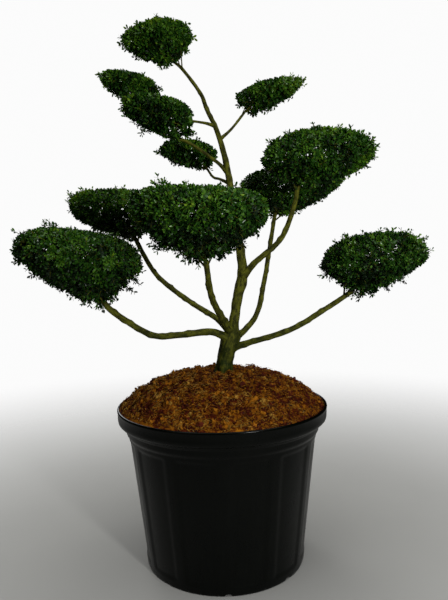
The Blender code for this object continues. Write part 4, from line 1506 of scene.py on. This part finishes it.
def make_foliage(settings, wood):
    """Twigs and leaves of every pad, each kind apart."""
    limbs = plan_limbs(wood)
    envelopes = {pad.name: Envelope(pad, limbs[pad.limb]) for pad in PADS}
    twig = holly_bark(wood)
    twig.name = "holly_twig_bark"
    leaf_tints = [
        leaf_material("holly_leaf_new", settings.new_leaf, 0.48, 0.04),
        leaf_material("holly_leaf_light", settings.light_leaf, 0.40, 0.14),
        leaf_material("holly_leaf_green", settings.green_leaf, 0.40, 0.12),
        leaf_material("holly_leaf_dark", settings.dark_leaf, 0.50, 0.03),
    ]
    for pad in PADS:
        growth = Growth(pad, limbs, envelopes, settings)
        points, tints = growth.grow()
        name = pad.name.replace("foliage_", "")
        twig_points = np.concatenate(growth.twig_points)
        add_piece(
            "twigs_" + name, twig_points, np.concatenate(growth.twig_faces), [twig], [pad.name],
            grain=twig_points,
        )
        add_piece(
            "leaves_" + name, points.reshape(-1, 3), copies(len(LEAF_OUTLINE), LEAF_FACES, len(points)),
            leaf_tints, [pad.name], np.repeat(tints, len(LEAF_FACES)),
        )


# Stage


def add_lamp(name, power, place, aim, size):
    lamp = bpy.data.lights.new(name, "AREA")
    lamp.energy, lamp.shape, lamp.size = power, "DISK", size
    obj = bpy.data.objects.new(name, lamp)
    obj.location = place
    obj.rotation_euler = (Vector(aim) - Vector(place)).to_track_quat("-Z", "Y").to_euler()
    obj.visible_camera = False
    bpy.context.scene.collection.objects.link(obj)


def make_stage(settings):
    mesh = bpy.data.meshes.new("floor")
    corners = [(x * FLOOR_REACH, y * FLOOR_REACH, 0) for x, y in ((-1, -1), (1, -1), (1, 1), (-1, 1))]
    mesh.from_pydata(corners, [], [(0, 1, 2, 3)])
    mesh.materials.append(painted_floor(settings))
    floor = bpy.data.objects.new("floor", mesh)
    bpy.context.scene.collection.objects.link(floor)

    # The surround is only a white ground to see the plant against. The lamps light the plant.
    world = bpy.data.worlds.new("white_surround")
    world.use_nodes = True
    background = world.node_tree.nodes["Background"]
    background.inputs["Color"].default_value = (1.0, 1.0, 1.0, 1.0)
    background.inputs["Strength"].default_value = settings.surround
    world.cycles_visibility.diffuse = False
    world.cycles_visibility.glossy = False
    bpy.context.scene.world = world
    bpy.context.scene.view_settings.view_transform = "Standard"

    overhead = bpy.data.lights.new("overhead", "SUN")
    overhead.energy, overhead.angle = settings.overhead_strength, OVERHEAD_ANGLE
    bpy.context.scene.collection.objects.link(bpy.data.objects.new("overhead", overhead))
    add_lamp("key", settings.key_power, *KEY_LAMP)
    add_lamp("fill", settings.fill_power, *FILL_LAMP)
    add_lamp("back", settings.back_power, *BACK_LAMP)

    camera = bpy.data.cameras.new("camera")
    camera.lens, camera.sensor_width = settings.lens, 36.0
    obj = bpy.data.objects.new("camera", camera)
    turn = Matrix.Rotation(math.pi / 2 - settings.camera_pitch, 4, "X")
    roll = Matrix.Rotation(-settings.camera_roll, 4, "Z")
    obj.matrix_world = Matrix.Translation(settings.camera_place) @ turn @ roll
    bpy.context.scene.collection.objects.link(obj)
    bpy.context.scene.camera = obj


# Operators


class HOLLY_OT_stage(bpy.types.Operator):
    """Sets up the pale floor, the soft lamps, the white surround and the camera"""

    bl_idname = "holly.stage"
    bl_label = "Stage"

    def execute(self, context):
        make_stage(context.scene.holly.stage)
        return {"FINISHED"}


class HOLLY_OT_pot(bpy.types.Operator):
    """Models the fluted nursery pot"""

    bl_idname = "holly.pot"
    bl_label = "Pot"

    def execute(self, context):
        make_pot(context.scene.holly.pot)
        return {"FINISHED"}


class HOLLY_OT_mulch(bpy.types.Operator):
    """Covers the fill with coir, fibres and bark chips"""

    bl_idname = "holly.mulch"
    bl_label = "Mulch"

    def execute(self, context):
        make_mulch(context.scene.holly.mulch)
        return {"FINISHED"}


class HOLLY_OT_wood(bpy.types.Operator):
    """Gives the trunk and the boughs their bark"""

    bl_idname = "holly.wood"
    bl_label = "Trunk and Boughs"

    def execute(self, context):
        settings = context.scene.holly.wood
        bark = holly_bark(settings)
        for limb in plan_limbs(settings).values():
            limb_mesh(limb, settings, TRUNK_SIDES if limb.name == "trunk" else BOUGH_SIDES, bark)
        return {"FINISHED"}


class HOLLY_OT_foliage(bpy.types.Operator):
    """Grows the twigs and leaves of every pad"""

    bl_idname = "holly.foliage"
    bl_label = "Foliage"

    def execute(self, context):
        make_foliage(context.scene.holly.foliage, context.scene.holly.wood)
        return {"FINISHED"}


class HOLLY_PT_panel(bpy.types.Panel):
    """Lists the pieces of the holly and their settings"""

    bl_idname = "HOLLY_PT_panel"
    bl_label = "Cloud-Pruned Holly"
    bl_space_type = "VIEW_3D"
    bl_region_type = "UI"
    bl_category = "Holly"

    def draw(self, context):
        for name, operator in PIECES:
            box = self.layout.box()
            box.operator(operator.bl_idname)
            settings = getattr(context.scene.holly, name)
            for key in settings.__annotations__:
                box.prop(settings, key)


PIECES = (
    ("stage", HOLLY_OT_stage),
    ("pot", HOLLY_OT_pot),
    ("mulch", HOLLY_OT_mulch),
    ("wood", HOLLY_OT_wood),
    ("foliage", HOLLY_OT_foliage),
)
CLASSES = (
    PotSettings,
    MulchSettings,
    WoodSettings,
    FoliageSettings,
    StageSettings,
    HollySettings,
    *(operator for _, operator in PIECES),
    HOLLY_PT_panel,
)


def register():
    for cls in CLASSES:
        bpy.utils.register_class(cls)
    bpy.types.Scene.holly = bpy.props.PointerProperty(type=HollySettings)


def unregister():
    del bpy.types.Scene.holly
    for cls in reversed(CLASSES):
        bpy.utils.unregister_class(cls)


def main():
    for obj in list(bpy.data.objects):
        if obj.name in ("Cube", "Light", "Camera"):
            bpy.data.objects.remove(obj, do_unlink=True)
    register()
    bpy.ops.holly.stage()
    bpy.ops.holly.pot()
    bpy.ops.holly.mulch()
    bpy.ops.holly.wood()
    bpy.ops.holly.foliage()


if __name__ == "__main__":
    main()
